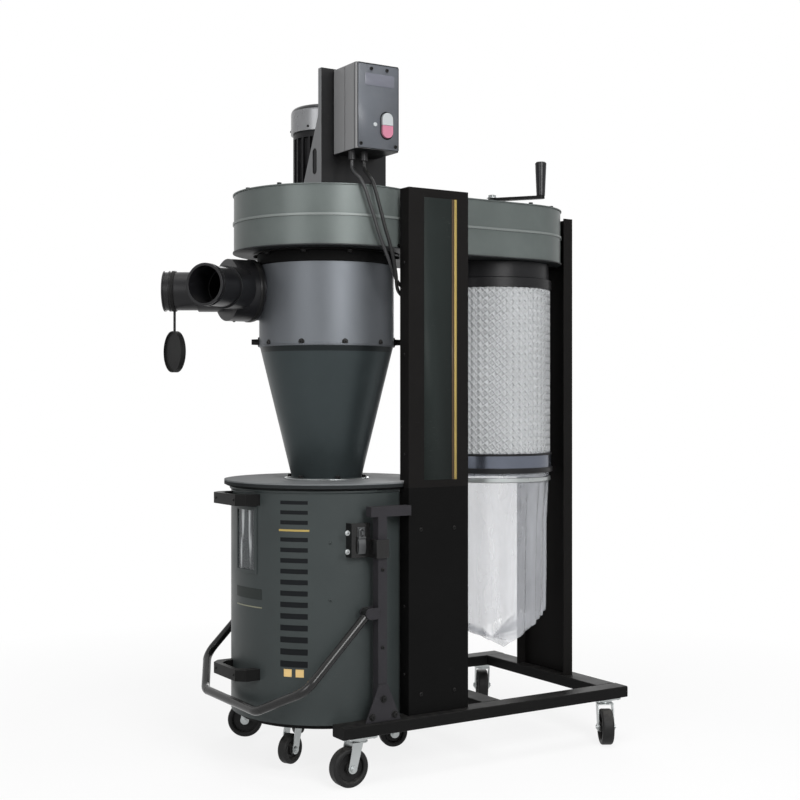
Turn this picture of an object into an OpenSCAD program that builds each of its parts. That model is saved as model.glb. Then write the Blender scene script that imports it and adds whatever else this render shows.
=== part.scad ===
// Mobile cyclone dust collector with a lift-up drum, a cartridge filter and a clear dust bag.
// Millimetres, +Z up. X runs from the inlet and drum end to the filter end, Y to the far side.
// Every piece is placed from the drum end of the base and the centre line between the side
// rails. The last step moves the whole so that the origin is on the floor under its middle.

/* [Base frame] */
// Length of the base frame
base_len = 898; // [880:2:960]
// Width over the two side rails
base_w = 622; // [620:2:660]
// Width of a side rail
rail_w = 55; // [46:1:56]
// Height of every rail
rail_h = 30; // [24:1:36]
// Corner radius of the rails
rail_corner = 4; // [1:0.5:8]
// Height of the underside of the rails above the floor
rail_z = 120; // [118:1:132]
// Width of the rail across the filter end
end_rail_w = 65; // [50:1:66]
// Distance of the cross rail from the drum end
cross_x = 445; // [400:1:480]
// Width of the cross rail
cross_w = 60; // [40:1:70]

/* [Base casters] */
// Diameter of a base wheel
wheel_d = 96; // [88:1:97]
// Width of a base wheel
wheel_w = 32; // [24:1:34]
// Distance of a base axle from its swivel axis
wheel_trail = 28; // [24:1:30]
// Distance of the front swivel axes from the drum end
front_stem_x = 57; // [50:1:62]
// Distance of the rear swivel axes from the filter end
rear_stem_in = 62; // [58:1:70]
// Direction of each base wheel from its swivel axis: near front, far front, near rear, far rear
base_turns = [180, 148, 240, 60];

/* [Drum casters] */
// Diameter of a drum wheel
drum_wheel_d = 75; // [66:1:76]
// Width of a drum wheel
drum_wheel_w = 26; // [20:1:28]
// Distance of a drum axle from its swivel axis
drum_wheel_trail = 26; // [22:1:28]
// Distance of the drum swivel axes from the edge of the ring under the drum
drum_stem_in = 82; // [80:1:92]
// Height of the drum wheels above the floor when the drum is lifted
lift_height = 20; // [19:0.5:26]
// Direction of each drum caster from the drum axis
drum_stem_dirs = [90, 210, 330];
// Direction of each drum wheel from its swivel axis
drum_turns = [75, 205, 345];

/* [Caster details] */
// Length of a caster plate
plate_len = 80; // [70:1:90]
// Width of a caster plate
plate_w = 52; // [48:1:54]
// Thickness of a caster plate
plate_t = 4; // [3:0.5:5]
// Radius of the ball race under the plate
race_r = 21; // [18:1:24]
// Height of the ball race under the plate
race_h = 6; // [4:0.5:7]
// Thickness of the fork sheet
fork_t = 3; // [2:0.5:3.5]
// Gap between a wheel and its fork
wheel_gap = 3; // [2.5:0.5:4]
// Radius of the king pin
king_r = 5; // [4:0.5:7]
// Radius of the king pin head
king_head_r = 9; // [8:0.5:11]
// Height of the king pin head
king_head_h = 2; // [1.5:0.5:3]
// Radius of an axle
axle_r = 5; // [4:0.5:7]
// Radius of the fork leg round the axle
leg_r = 12; // [10:0.5:15]
// Corner radius of a tread
tread_corner = 6; // [3:0.5:8]
// Depth of a tread ring
tread_t = 14; // [10:0.5:18]
// Radius of a hub
hub_r = 15; // [11:0.5:17]
// Thickness of the web of a wheel
web_t = 10; // [6:0.5:14]

/* [Columns and posts] */
// Distance of the columns from the drum end
col_x = 201; // [196:1:210]
// Width of a column
col_w = 180; // [160:1:190]
// Depth of a column
col_d = 41; // [36:1:42]
// Distance of the front of a column from the outer face of the side rail
col_in = 26; // [21:0.5:28]
// Sheet of the columns, the covers and the end post
sheet_t = 2.5; // [2:0.25:3]
// Height of a column's lower cover above the drum's rim
cover_over = 2; // [0:0.5:8]
// Width of the end post
end_post_w = 220; // [190:1:260]
// Depth of the end post
end_post_d = 31; // [24:1:33]
// Distance of the end post from the filter end
end_post_in = 30; // [26:1:32]
// Distance of the end post's top under the top of the fan housing
end_post_drop = 14; // [4:1:40]
// Side of the square lift post
post_w = 25; // [20:1:26]
// Distance of the lift posts from the drum end
post_x = 118; // [114:1:124]
// Height of the top of the lift posts
post_top = 675; // [660:1:690]
// Distance that the tie sticks out past the post towards the drum end
tie_over = 20; // [10:1:24]
// Width of the post foot at the rail
foot_w = 100; // [80:1:120]
// Height of the post foot
foot_h = 90; // [70:1:110]
// Thickness of the post foot
foot_t = 4; // [3:0.5:6]

/* [Drum] */
// Distance of the drum and cyclone axis from the drum end
axis_x = 126; // [124:0.5:130]
// Gap between the drum and the side rails
drum_gap = 6; // [6:0.5:16]
// Sheet of the drum wall
drum_t = 2; // [1.5:0.25:3]
// Height of the drum wall's foot above the floor
drum_z = 137; // [134:1:142]
// Height of the drum wall
drum_h = 578; // [560:1:582]
// Radius of the rolled rim
rim_r = 5; // [3:0.5:5.5]
// Thickness of the drum's floor
floor_t = 3; // [2:0.5:5]
// Depth of the ring under the drum
dolly_h = 12; // [8:1:14]
// Distance of the ring under the drum from the drum wall
dolly_in = 18; // [12:1:30]
// Width of the sight window
window_w = 78; // [60:1:90]
// Height of the sight window
window_h = 150; // [110:1:160]
// Distance of the window's middle under the drum's top
window_down = 130; // [128:1:148]
// Width of the window frame
frame_w = 9; // [6:0.5:12]
// Distance of the window frame from the drum wall's face
frame_proud = 2.5; // [1.5:0.25:4]
// Direction of the window from the drum axis
window_dir = 186; // [184:0.5:188]

/* [Drum handles] */
// Length of a handle
handle_len = 166; // [150:1:176]
// Distance of a handle's face from the drum wall
handle_reach = 45; // [40:1:48]
// Thickness of the grip of a handle
handle_bar = 14; // [11:0.5:15]
// Width of the foot of a handle
handle_foot = 22; // [16:0.5:26]
// Bevel of a handle's corners
handle_bevel = 20; // [14:0.5:24]
// Height of a handle
handle_h = 28; // [22:0.5:30]
// Distance of the upper handle's middle under the drum's top
handle_down = 28; // [24:1:34]
// Height of the lower handle's middle above the drum's foot
handle_up = 115; // [90:1:160]

/* [Lift gear] */
// Height of the lever pivot
pivot_z = 415; // [405:1:425]
// Distance of the lever pivot from the post towards the drum end
pivot_out = 22; // [21:0.5:26]
// Radius of the lever tube
lever_r = 11; // [9:0.25:12]
// Length of the straight part of a lever arm
arm_len = 243; // [230:1:250]
// Distance of the lever's cross bar from the pivot
lever_reach = 335; // [325:1:345]
// Half of the length of the lever's cross bar
bar_half = 150; // [140:1:170]
// Radius of the lever's bends along the middle of the tube
bend_r = 55; // [40:1:60]
// Slope of the lever at rest
lever_slope = 45; // [43:0.5:47]
// Radius of the lever pin
pin_r = 5; // [4:0.5:6]
// Radius of the lever's eye
eye_r = 14; // [12.5:0.5:15]
// Distance that the lever's eye is wider than its tube
eye_over = 2; // [1:0.5:4]
// Thickness of a clevis cheek
cheek_t = 4; // [3:0.5:5]
// Height of the guide jaw round a lift post
jaw_h = 45; // [36:1:54]
// Distance of the guide jaw's foot under the drum's top
jaw_down = 165; // [158:1:173]
// Thickness of the guide jaw
jaw_t = 5; // [4:0.5:6]
// Width of the mounting pad of the guide jaw
pad_w = 52; // [44:1:56]
// Height of the mounting pad
pad_h = 84; // [76:1:90]
// Width of a toggle latch
latch_w = 20; // [16:0.5:24]
// Height of a toggle latch
latch_h = 66; // [56:1:72]
// Depth of a toggle latch
latch_d = 9; // [6:0.5:11]
// Radius of the latch's wire loop
wire_r = 2; // [1.5:0.25:2.25]
// Height of the catch that holds the latch's loop
catch_h = 9; // [7:0.5:12]
// Width of the catch that holds the latch's loop
catch_w = 6; // [5:0.5:7]
// Sheet of the latch
latch_t = 2; // [1.5:0.25:2.5]
// Height of the latch's knuckle as a share of its height
knuckle_share = 0.6; // [0.5:0.05:0.65]

/* [Cyclone] */
// Distance that the lid stands out past the drum wall
lid_over = 18; // [12:1:19]
// Depth of the lid's turned-down edge
lid_h = 12; // [10:0.5:16]
// Sheet of the lid, the cone and the barrel
skin_t = 2; // [1.5:0.25:2.5]
// Thickness of the lid seal
seal_h = 13; // [11:0.5:15]
// Width of the lid seal
seal_w = 24; // [18:1:30]
// Radius of the cone's outlet
outlet_r = 90; // [80:1:100]
// Width of the cone's foot flange
outlet_flange = 16; // [12:0.5:24]
// Radius of the barrel
barrel_r = 177; // [170:1:180]
// Height of the barrel
barrel_h = 247; // [240:1:254]
// Height of the cone's collar inside the barrel
lap_h = 24; // [16:1:30]
// Width of the barrel's top flange
top_flange = 14; // [10:0.5:20]
// Thickness of the sheet flanges
flange_t = 4; // [3:0.5:5]

/* [Inlet] */
// Distance of the inlet axis from the centre line
inlet_y = 72; // [68:1:76]
// Height of the inlet axis
inlet_z = 1220; // [1210:1:1226]
// Radius of the inlet duct
duct_r = 76; // [72:0.5:78]
// Wall of the inlet duct
duct_t = 2; // [1.5:0.25:3]
// Reach of the inlet duct past the drum end of the base
duct_reach = 76; // [70:1:84]
// Wall of the plastic wye
wye_t = 4; // [3:0.25:5]
// Distance of the wye's socket mouth past the drum end of the base
wye_start = 54; // [53:0.5:60]
// Distance of the wye's shoulder past the drum end of the base
wye_end = 128; // [122:1:134]
// Distance of the meeting point of the port axes past the drum end of the base
split_x = 53; // [50:1:58]
// Slant of a port from the inlet axis
port_slant = 33; // [31:0.5:36]
// Distance of a port's mouth from the meeting point
port_len = 232; // [226:1:250]
// Distance of a port's foot from the meeting point
port_foot = 142; // [138:1:150]
// Outer radius of a port
port_r = 50; // [48:0.25:51]
// Wall of a port
port_t = 3.5; // [2.5:0.25:4.5]
// Width of the stop for the hose at the foot of a port
port_stop = 2.5; // [1.5:0.25:4]
// Height of the ribs round a port
port_rib = 3; // [2:0.25:4]
// Width of the ribs round a port
rib_w = 4; // [3:0.25:6]
// Distance from rib to rib
rib_gap = 14; // [10:0.5:18]
// Distance of the cap's strap ring from the mouth
strap_in = 26; // [24:0.5:30]
// Width of the cap strap
strap_w = 9; // [7:0.5:12]
// Thickness of the cap strap
strap_t = 3; // [2:0.25:4]
// Drop of the cap strap under the port
strap_drop = 54; // [46:1:60]
// Radius of the port cap
cap_r = 54; // [52:0.5:56]
// Depth of the port cap
cap_h = 14; // [10:0.5:18]
// Direction that the port cap faces
cap_dir = 182; // [176:1:188]

/* [Fan housing] */
// Height of the underside of the fan housing
fan_z = 1321; // [1318:1:1326]
// Height of the fan housing
fan_h = 146; // [140:1:150]
// Gap between the widest part of the fan housing and the plane of the columns
fan_gap = 1; // [1:0.5:6]
// Clearance between the filter and the end post
filter_gap = 8; // [6:0.5:12]
// Radius of the housing's filter end beyond its share of the fan end's radius
plenum_core = 113; // [100:1:118]
// Sheet of the fan housing
fan_t = 2.5; // [2:0.25:3]
// Thickness of the top and bottom plates
fan_plate_t = 3; // [2.5:0.25:4]
// Distance that the plates and the middle bead stand out
fan_lip = 3; // [2:0.25:4]
// Height of the middle bead
bead_h = 6; // [4:0.5:8]
// Height of the brackets that carry the housing
carry_h = 100; // [80:1:110]
// Thickness of the brackets that carry the housing
carry_t = 5; // [4:0.5:6]

/* [Motor and switch] */
// Radius of the motor over its ribs
motor_r = 88; // [84:0.5:90]
// Height of the motor body
motor_h = 162; // [150:1:170]
// Depth of a motor rib
motor_rib = 8; // [6:0.5:10]
// Thickness of a motor rib
motor_rib_t = 5; // [4:0.25:6]
// Number of motor ribs
motor_ribs = 24; // [20:1:28]
// Height of the motor's end rings
motor_ring = 16; // [12:1:22]
// Radius of the fan cover
cowl_r = 94; // [91:0.5:98]
// Height of the fan cover
cowl_h = 68; // [60:1:76]
// Edge radius of the fan cover
cowl_edge = 16; // [10:0.5:20]
// Number of air slots in the fan cover
cowl_slots = 16; // [12:1:20]
// Width of an air slot
slot_w = 6; // [4:0.5:8]
// Distance of the air slots' inner ends from the axis
slot_in = 24; // [20:0.5:34]
// Distance of the air slots' outer ends from the axis
slot_out = 70; // [60:0.5:72]
// Distance of the switch bracket from the centre line
stand_y = 143; // [141:0.5:150]
// Width of the switch bracket
stand_w = 190; // [186:1:200]
// Height of the switch bracket
stand_h = 301; // [296:1:310]
// Sheet of the switch bracket
stand_t = 3; // [2:0.25:3.5]
// Depth of the bracket's side at its foot
stand_d = 92; // [80:1:100]
// Depth of the bracket's side at its top
stand_top_d = 16; // [12:0.5:22]
// Height of the foot of the bracket's side where it starts to taper
stand_step = 26; // [20:1:34]
// Height where the taper of the bracket's side ends
stand_taper = 186; // [170:1:200]
// Radius of the bracket's oblong hole
stand_hole_r = 11; // [8:0.5:12]
// Length between the ends of the bracket's oblong hole
stand_hole_len = 44; // [30:1:50]
// Width of the switch box
box_w = 123; // [110:1:130]
// Depth of the switch box
box_d = 119; // [100:1:122]
// Height of the switch box
box_h = 212; // [190:1:220]
// Distance of the switch box above the fan housing
box_up = 84; // [80:1:86]
// Corner radius of the switch box
box_corner = 7; // [4:0.5:10]
// Depth of the groove between the halves of the box
box_groove = 2; // [1:0.25:3]
// Width of the groove between the halves of the box
box_groove_w = 3; // [2:0.25:5]
// Width of the push button plate
button_w = 30; // [24:0.5:34]
// Height of the push button plate
button_h = 62; // [54:1:70]
// Distance that the push buttons stand out
button_out = 7; // [5:0.5:10]
// Distance of the push buttons to the right of the box's middle
button_x = 24; // [18:0.5:28]
// Distance of the push buttons above the box's foot
button_up = 62; // [56:1:70]
// Radius of the signal lamp
lamp_r = 5; // [3.5:0.5:6]
// Distance of the lamp from the push buttons' middle
lamp_x = 34; // [26:0.5:40]

/* [Cables] */
// Radius of a cable
cable_r = 4.5; // [3.5:0.25:5]
// Number of sides of a cable
cable_sides = 10; // [8:1:12]
// Radius of a cable gland
gland_r = 9; // [7:0.5:11]
// Length of a cable gland
gland_h = 22; // [16:0.5:26]

/* [Filter and bag] */
// Distance of the filter's cage inside the housing above it
filter_in = 29; // [26:1:38]
// Distance of the filter's neck inside the cage
neck_in = 15; // [11:1:25]
// Height of the neck under the fan housing
neck_h = 46; // [40:1:54]
// Height of the filter's top band
head_h = 26; // [20:1:32]
// Height of the cage
cage_h = 458; // [430:1:470]
// Height of the filter's lower band
band_h = 54; // [44:1:60]
// Thickness of the bands
band_t = 3; // [2:0.25:4]
// Distance that the bands stand out of the cage
band_out = 3; // [2:0.25:4]
// Width of a cage strip
cage_w = 5; // [3:0.25:7]
// Thickness of a cage strip
cage_t = 1.5; // [1:0.1:2]
// Number of upright cage strips
cage_strips = 24; // [16:1:28]
// Number of cage hoops
cage_hoops = 7; // [5:1:9]
// Number of pleats
pleats = 60; // [48:1:72]
// Depth of a pleat
pleat_d = 26; // [20:0.5:34]
// Thickness of the filter core behind the pleats
core_t = 6; // [4:0.5:10]
// Length of the straight part of the bag
bag_len = 400; // [360:1:420]
// Height of the bag's foot, which is folded to a seam
bag_foot = 76; // [60:1:84]
// Direction of the seam under the bag
bag_seam_dir = 234; // [200:1:270]
// Thickness of the bag's film
bag_t = 1.2; // [1:0.1:2]
// Length of the bag's mouth inside the lower band
bag_mouth = 14; // [10:0.5:18]
// Height of the clamp round the top of the bag
clamp_h = 12; // [8:0.5:16]
// Thickness of the clamp round the top of the bag
clamp_t = 2; // [1.5:0.25:3]
// Distance of the clamp under the lower band
clamp_down = 12; // [8:0.5:20]
// Reach of the clamp's closing block
clamp_block = 14; // [10:0.5:18]
// Direction of the clamp's closing block
clamp_dir = 150; // [90:1:180]

/* [Cleaning crank] */
// Length of the crank between its axes
crank_len = 143; // [130:1:150]
// Direction of the crank at rest
crank_dir = -52.5; // [-56:0.5:-48]
// Height of the spindle over the fan housing
spindle_h = 50; // [46:0.5:54]
// Radius of the spindle
spindle_r = 8; // [6:0.5:10]
// Radius of the spindle's boss
boss_r = 24; // [18:0.5:28]
// Height of the spindle's boss
boss_h = 32; // [26:0.5:36]
// Width of the crank bar
crank_w = 22; // [18:0.5:26]
// Thickness of the crank bar
crank_t = 8; // [6:0.5:10]
// Length of the grip
grip_len = 94; // [86:1:104]
// Radius of the grip at its foot
grip_foot_r = 12; // [10:0.5:13]
// Radius of the grip at its top
grip_top_r = 16; // [14:0.5:18]
// Radius of the grip's pin
grip_pin_r = 4; // [3:0.5:5]
// Chamfer round the top of the grip
grip_edge = 3; // [2:0.25:5]

/* [Fits] */
// Radial clearance of a pin in its hole
pin_fit = 0.1; // [0.05:0.01:0.1]
// Gap between a moving face and the face that it stands against
face_gap = 0.5; // [0.4:0.05:0.8]
// Gap between a curved piece and the curved face that carries it
seat_gap = 0.2; // [0.1:0.05:0.3]
// Clearance between the drum's guide jaws and the lift posts
jaw_gap = 5.5; // [5:0.5:6]
// Clearance between the lid and the columns
notch_gap = 4; // [3:0.5:6]
// Overrun of every cut
cut = 2; // [1:0.5:3]

/* [Hidden] */
$fn = 48;
rail_top = rail_z + rail_h;
side_y = base_w / 2 - rail_w / 2;
post_y = side_y;
col_y = base_w / 2 - col_in;
drum_r = base_w / 2 - rail_w - drum_gap;
dolly_r = drum_r - dolly_in;
drum_stem_r = dolly_r - drum_stem_in;
lid_r = drum_r + lid_over;
fan_r = col_y - col_d - fan_gap;
plenum_share = 1 / 3;
plenum_r = plenum_core + plenum_share * fan_r;
filter_r = plenum_r - filter_in;
neck_r = filter_r - neck_in;
filter_x = base_len - end_post_in - end_post_d - filter_gap - filter_r;
end_x = base_len - end_rail_w;
rear_stem_x = base_len - rear_stem_in;
base_stems = [[front_stem_x, -side_y], [front_stem_x, side_y],
    [rear_stem_x, -side_y], [rear_stem_x, side_y]];
dolly_z = drum_z - dolly_h;
drum_caster_h = dolly_z - lift_height;
drum_top = drum_z + drum_h;
cover_top = drum_top + cover_over;
drum_stems = [for (a = drum_stem_dirs) [axis_x + drum_stem_r * cos(a), drum_stem_r * sin(a)]];
seal_z = drum_top + face_gap;
lid_z = seal_z + seal_h;
lid_top = lid_z + skin_t;
seam_z = fan_z - barrel_h;
cone_top_r = barrel_r - skin_t - seat_gap;
fan_top = fan_z + fan_h;
roof_z = fan_top + fan_plate_t;
cellar_z = fan_z - fan_plate_t;
col_top = fan_top;
post_in = post_y - post_w / 2;
post_out = post_y + post_w / 2;
pivot_x = post_x - post_w / 2 - pivot_out;
lap_z = roof_z + boss_h;
motor_z = roof_z;
cowl_z = motor_z + motor_h;
box_z = roof_z + box_up;
box_back = stand_y;
box_front = stand_y + box_d;
gland_z = box_z - gland_h;
neck_z = cellar_z - neck_h;
head_z = neck_z - head_h;
cage_z = head_z - cage_h;
band_z = cage_z - band_h;
bag_z = band_z - bag_len;
bag_r = filter_r - band_t - seat_gap;
crank_z = lap_z + face_gap;
lever_eye_y = post_y;
eye_len = 2 * lever_r + eye_over;
port_lip_r = port_r + port_rib;
x_low = -split_x - port_len * cos(port_slant) - port_lip_r * sin(port_slant);
x_mid = (x_low + base_len) / 2;
hoop_share = 1 / (cage_hoops + 1);
window_z = drum_top - window_down;
jaw_z = drum_top - jaw_down;
handle_zs = [drum_top - handle_down, drum_z + handle_up];
cable_a = [[78, -215, 1532], [78, -217, 1512], [79, -232, 1496], [82, -250, 1481], [92, -258, 1454],
    [103, -260, 1420], [114, -261, 1390], [126, -261, 1355], [140, -259, 1325], [156, -256, 1295],
    [172, -250, 1268], [188, -240, 1246], [206, -233, 1228], [226, -236, 1214], [240, -250, 1204],
    [246, -266, 1196]];
cable_b = [[112, -215, 1532], [112, -218, 1512], [112, -236, 1496], [113, -254, 1479], [118, -263, 1452],
    [124, -267, 1424], [132, -269, 1394], [142, -270, 1360], [154, -270, 1326], [166, -267, 1290],
    [180, -258, 1250], [190, -245, 1228], [201, -235, 1211], [215, -233, 1198], [232, -238, 1185],
    [252, -250, 1174], [262, -266, 1166]];

// Moves a piece from the drum end of the base to the part's own origin
module in_frame() {
    translate([-x_mid, 0, 0])
        children();
}

// A rectangle with round corners about its middle
module round_rect(w, h, r) {
    square([w - 2 * r, h], center = true);
    square([w, h - 2 * r], center = true);
    for (sx = [-1, 1], sy = [-1, 1])
        translate([sx * (w / 2 - r), sy * (h / 2 - r)])
            circle(r);
}

// A ring about Z
module ring(r, t, h) {
    difference() {
        cylinder(r = r, h = h);
        translate([0, 0, -cut])
            cylinder(r = r - t, h = h + 2 * cut);
    }
}

// An oblong about its middle, upright along Y
module oblong(r, len) {
    square([2 * r, len], center = true);
    for (s = [-1, 1])
        translate([0, s * len / 2])
            circle(r);
}

// Both sides of the centre line
module both_sides() {
    children();
    mirror([0, 1, 0])
        children();
}

function heading(a, b) = atan2(b[1] - a[1], b[0] - a[0]);
function wrap(a) = a > 180 ? a - 360 : a < -180 ? a + 360 : a;
function turn_at(p, i) = wrap(heading(p[i], p[i + 1]) - heading(p[i - 1], p[i]));
function setback(p, i, r) = i == 0 || i == len(p) - 1 ? 0 : r * tan(abs(turn_at(p, i)) / 2);

// A round tube along a flat path of straight runs that end inside slightly thicker bends
module flat_tube(p, bend, r) {
    for (i = [0 : len(p) - 2]) {
        a = heading(p[i], p[i + 1]);
        from = i == 0 ? 0 : setback(p, i, bend) - cut;
        to = i == len(p) - 2 ? 0 : setback(p, i + 1, bend) - cut;
        run = norm(p[i + 1] - p[i]) - from - to;
        translate([p[i][0] + from * cos(a), p[i][1] + from * sin(a), 0])
            rotate([0, 90, a])
                cylinder(r = r, h = run);
    }
    for (i = [1 : len(p) - 2]) {
        a = heading(p[i - 1], p[i]);
        turn = turn_at(p, i);
        side = sign(turn);
        back = setback(p, i, bend);
        start = side > 0 ? a - 90 : a + 90 + turn;
        translate([p[i][0] - back * cos(a) - side * bend * sin(a),
                   p[i][1] - back * sin(a) + side * bend * cos(a), 0])
            rotate([0, 0, start])
                rotate_extrude(angle = abs(turn))
                    translate([bend, 0])
                        circle(r + seat_gap);
    }
}

function unit(v) = v / norm(v);
function along(p, i) = unit(p[min(i + 1, len(p) - 1)] - p[max(i - 1, 0)]);
function across(d) = unit(cross(d, [1, 0, 0]));
function cable_ring(p, i, r, n) = let (d = along(p, i), u = across(d), v = cross(d, u))
    [for (k = [0 : n - 1]) p[i] + r * cos(360 * k / n) * u + r * sin(360 * k / n) * v];
function cable_points(p, r, n) = [for (i = [0 : len(p) - 1]) each cable_ring(p, i, r, n)];
function cable_faces(m, n) = concat(
    [[for (k = [0 : n - 1]) k]],
    [for (i = [0 : m - 2], k = [0 : n - 1])
        [i * n + k, (i + 1) * n + k, (i + 1) * n + (k + 1) % n, i * n + (k + 1) % n]],
    [[for (k = [n - 1 : -1 : 0]) (m - 1) * n + k]]);

// A cable along a route of points
module cable(p) {
    polyhedron(points = cable_points(p, cable_r, cable_sides), faces = cable_faces(len(p), cable_sides));
}

// A rail along X with closed ends
module rail(len, w) {
    rotate([90, 0, 90])
        linear_extrude(len)
            translate([0, rail_h / 2])
                round_rect(w, rail_h, rail_corner);
}

// The fixed plate, race and king pin of a caster, with its top face at zero
module caster_top() {
    translate([0, 0, -plate_t])
        linear_extrude(plate_t)
            round_rect(plate_len, plate_w, rail_corner);
    translate([0, 0, -plate_t - race_h])
        cylinder(r = race_r, h = race_h);
    translate([0, 0, -plate_t - race_h - 2 * face_gap - fork_t])
        cylinder(r = king_r, h = fork_t + 2 * face_gap);
    translate([0, 0, -plate_t - race_h - 2 * face_gap - fork_t - king_head_h])
        cylinder(r = king_head_r, h = king_head_h);
}

// The swivelling fork of a caster with its axle
module caster_fork(d, w, h, trail) {
    crown_z = -plate_t - race_h - face_gap - fork_t;
    axle_z = d / 2 - h;
    half = w / 2 + wheel_gap;
    difference() {
        translate([0, 0, crown_z])
            linear_extrude(fork_t) {
                circle(half + fork_t);
                translate([0, -half - fork_t])
                    square([trail, 2 * half + 2 * fork_t]);
            }
        translate([0, 0, crown_z - cut])
            cylinder(r = king_r + pin_fit, h = fork_t + 2 * cut);
    }
    for (s = [-1, 1])
        translate([0, s > 0 ? half + fork_t : -half, 0])
            rotate([90, 0, 0])
                linear_extrude(fork_t) {
                    polygon([[0, crown_z], [trail, crown_z],
                             [trail + leg_r, axle_z], [trail - leg_r, axle_z]]);
                    translate([trail, axle_z])
                        circle(leg_r);
                }
    translate([trail, half + fork_t + axle_r, axle_z])
        rotate([90, 0, 0])
            cylinder(r = axle_r, h = 2 * (half + fork_t + axle_r));
}

// A caster wheel in the place that its fork holds it
module caster_wheel(d, w, h, trail) {
    translate([trail, 0, d / 2 - h])
        rotate([90, 0, 0])
            difference() {
                union() {
                    rotate_extrude()
                        translate([d / 2 - tread_t / 2, 0])
                            round_rect(tread_t, w, tread_corner);
                    translate([0, 0, -web_t / 2])
                        cylinder(r = d / 2 - tread_t / 2, h = web_t);
                    translate([0, 0, -w / 2])
                        cylinder(r = hub_r, h = w);
                }
                translate([0, 0, -w / 2 - cut])
                    cylinder(r = axle_r + pin_fit, h = w + 2 * cut);
            }
}

module base_fork_at(i) {
    translate([base_stems[i][0], base_stems[i][1], rail_z])
        rotate([0, 0, base_turns[i]])
            caster_fork(wheel_d, wheel_w, rail_z, wheel_trail);
}

module base_wheel_at(i) {
    translate([base_stems[i][0], base_stems[i][1], rail_z])
        rotate([0, 0, base_turns[i]])
            caster_wheel(wheel_d, wheel_w, rail_z, wheel_trail);
}

module drum_fork_at(i) {
    translate([drum_stems[i][0], drum_stems[i][1], dolly_z])
        rotate([0, 0, drum_turns[i]])
            caster_fork(drum_wheel_d, drum_wheel_w, drum_caster_h, drum_wheel_trail);
}

module drum_wheel_at(i) {
    translate([drum_stems[i][0], drum_stems[i][1], dolly_z])
        rotate([0, 0, drum_turns[i]])
            caster_wheel(drum_wheel_d, drum_wheel_w, drum_caster_h, drum_wheel_trail);
}

module side_rails() {
    color("#1b1c1d")
        in_frame()
            for (s = [-1, 1])
                translate([0, s * side_y, rail_z])
                    rail(base_len, rail_w);
}

module cross_rails() {
    color("#1b1c1d")
        in_frame()
            for (r = [[cross_x, cross_w], [end_x, end_rail_w]])
                translate([r[0] + r[1] / 2, -base_w / 2 + rail_w, rail_z])
                    rotate([0, 0, 90])
                        rail(base_w - 2 * rail_w, r[1]);
}

module base_caster_plates() {
    color("#b4b6b8")
        in_frame()
            for (p = base_stems)
                translate([p[0], p[1], rail_z])
                    caster_top();
}

// A folded channel, open towards the centre line, between two heights
module channel(z0, z1) {
    difference() {
        translate([col_x, -col_y, z0])
            cube([col_w, col_d, z1 - z0]);
        translate([col_x + sheet_t, -col_y + sheet_t, z0 - cut])
            cube([col_w - 2 * sheet_t, col_d, z1 - z0 + 2 * cut]);
        translate([axis_x, 0, lid_z - lid_h - notch_gap])
            cylinder(r = lid_r + notch_gap, h = lid_h + skin_t + 2 * notch_gap);
    }
}

module columns() {
    color("#1d1e1f")
        in_frame()
            both_sides()
                channel(cover_top, col_top);
}

module column_covers() {
    color("#17181a")
        in_frame()
            both_sides()
                channel(rail_top, cover_top);
}

module end_post() {
    inner_x = base_len - end_post_in - end_post_d;
    tall = fan_top - end_post_drop - rail_top;
    color("#1d1e1f")
        in_frame()
            difference() {
                translate([inner_x, -end_post_w / 2, rail_top])
                    cube([end_post_d, end_post_w, tall]);
                translate([inner_x - sheet_t, -end_post_w / 2 + sheet_t, rail_top - cut])
                    cube([end_post_d, end_post_w - 2 * sheet_t, tall + 2 * cut]);
            }
}

// The clevis that holds the lever's pin, on the drum end of a near lift post
module clevis() {
    for (s = [-1, 1])
        translate([0, -post_y + s * (eye_len / 2 + face_gap + cheek_t / 2) + cheek_t / 2, 0])
            rotate([90, 0, 0])
                linear_extrude(cheek_t) {
                    translate([pivot_x, pivot_z])
                        circle(eye_r);
                    translate([pivot_x, pivot_z - eye_r])
                        square([pivot_out, 2 * eye_r]);
                }
    translate([pivot_x, -post_y + eye_len / 2 + face_gap + cheek_t, pivot_z])
        rotate([90, 0, 0])
            cylinder(r = pin_r, h = eye_len + 2 * face_gap + 2 * cheek_t);
}

// The near lift post with its foot, tie and lever clevis
module lift_post() {
    translate([post_x - post_w / 2, -post_out, rail_top])
        cube([post_w, post_w, post_top - rail_top - post_w]);
    translate([post_x - post_w / 2 - tie_over, -post_out, post_top - post_w])
        cube([col_x - post_x + post_w / 2 + tie_over, post_w, post_w]);
    translate([0, -post_out, 0])
        rotate([90, 0, 0])
            linear_extrude(foot_t)
                polygon([[post_x - foot_w / 2, rail_top], [post_x + foot_w / 2, rail_top],
                         [post_x + post_w / 2, rail_top + foot_h],
                         [post_x - post_w / 2, rail_top + foot_h]]);
    clevis();
}

module lift_posts() {
    color("#8d8b95")
        in_frame()
            both_sides()
                lift_post();
}

module drum_lid() {
    color("#83868a")
        in_frame()
            translate([axis_x, 0, 0]) {
                difference() {
                    translate([0, 0, lid_z])
                        cylinder(r = lid_r, h = skin_t);
                    translate([0, 0, lid_z - cut])
                        cylinder(r = outlet_r, h = skin_t + 2 * cut);
                }
                translate([0, 0, lid_top - lid_h])
                    ring(lid_r, skin_t, lid_h - skin_t);
            }
}

module lid_seal() {
    color("#151515")
        in_frame()
            translate([axis_x, 0, seal_z])
                ring(drum_r + seal_w / 2, seal_w, seal_h);
}

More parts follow.
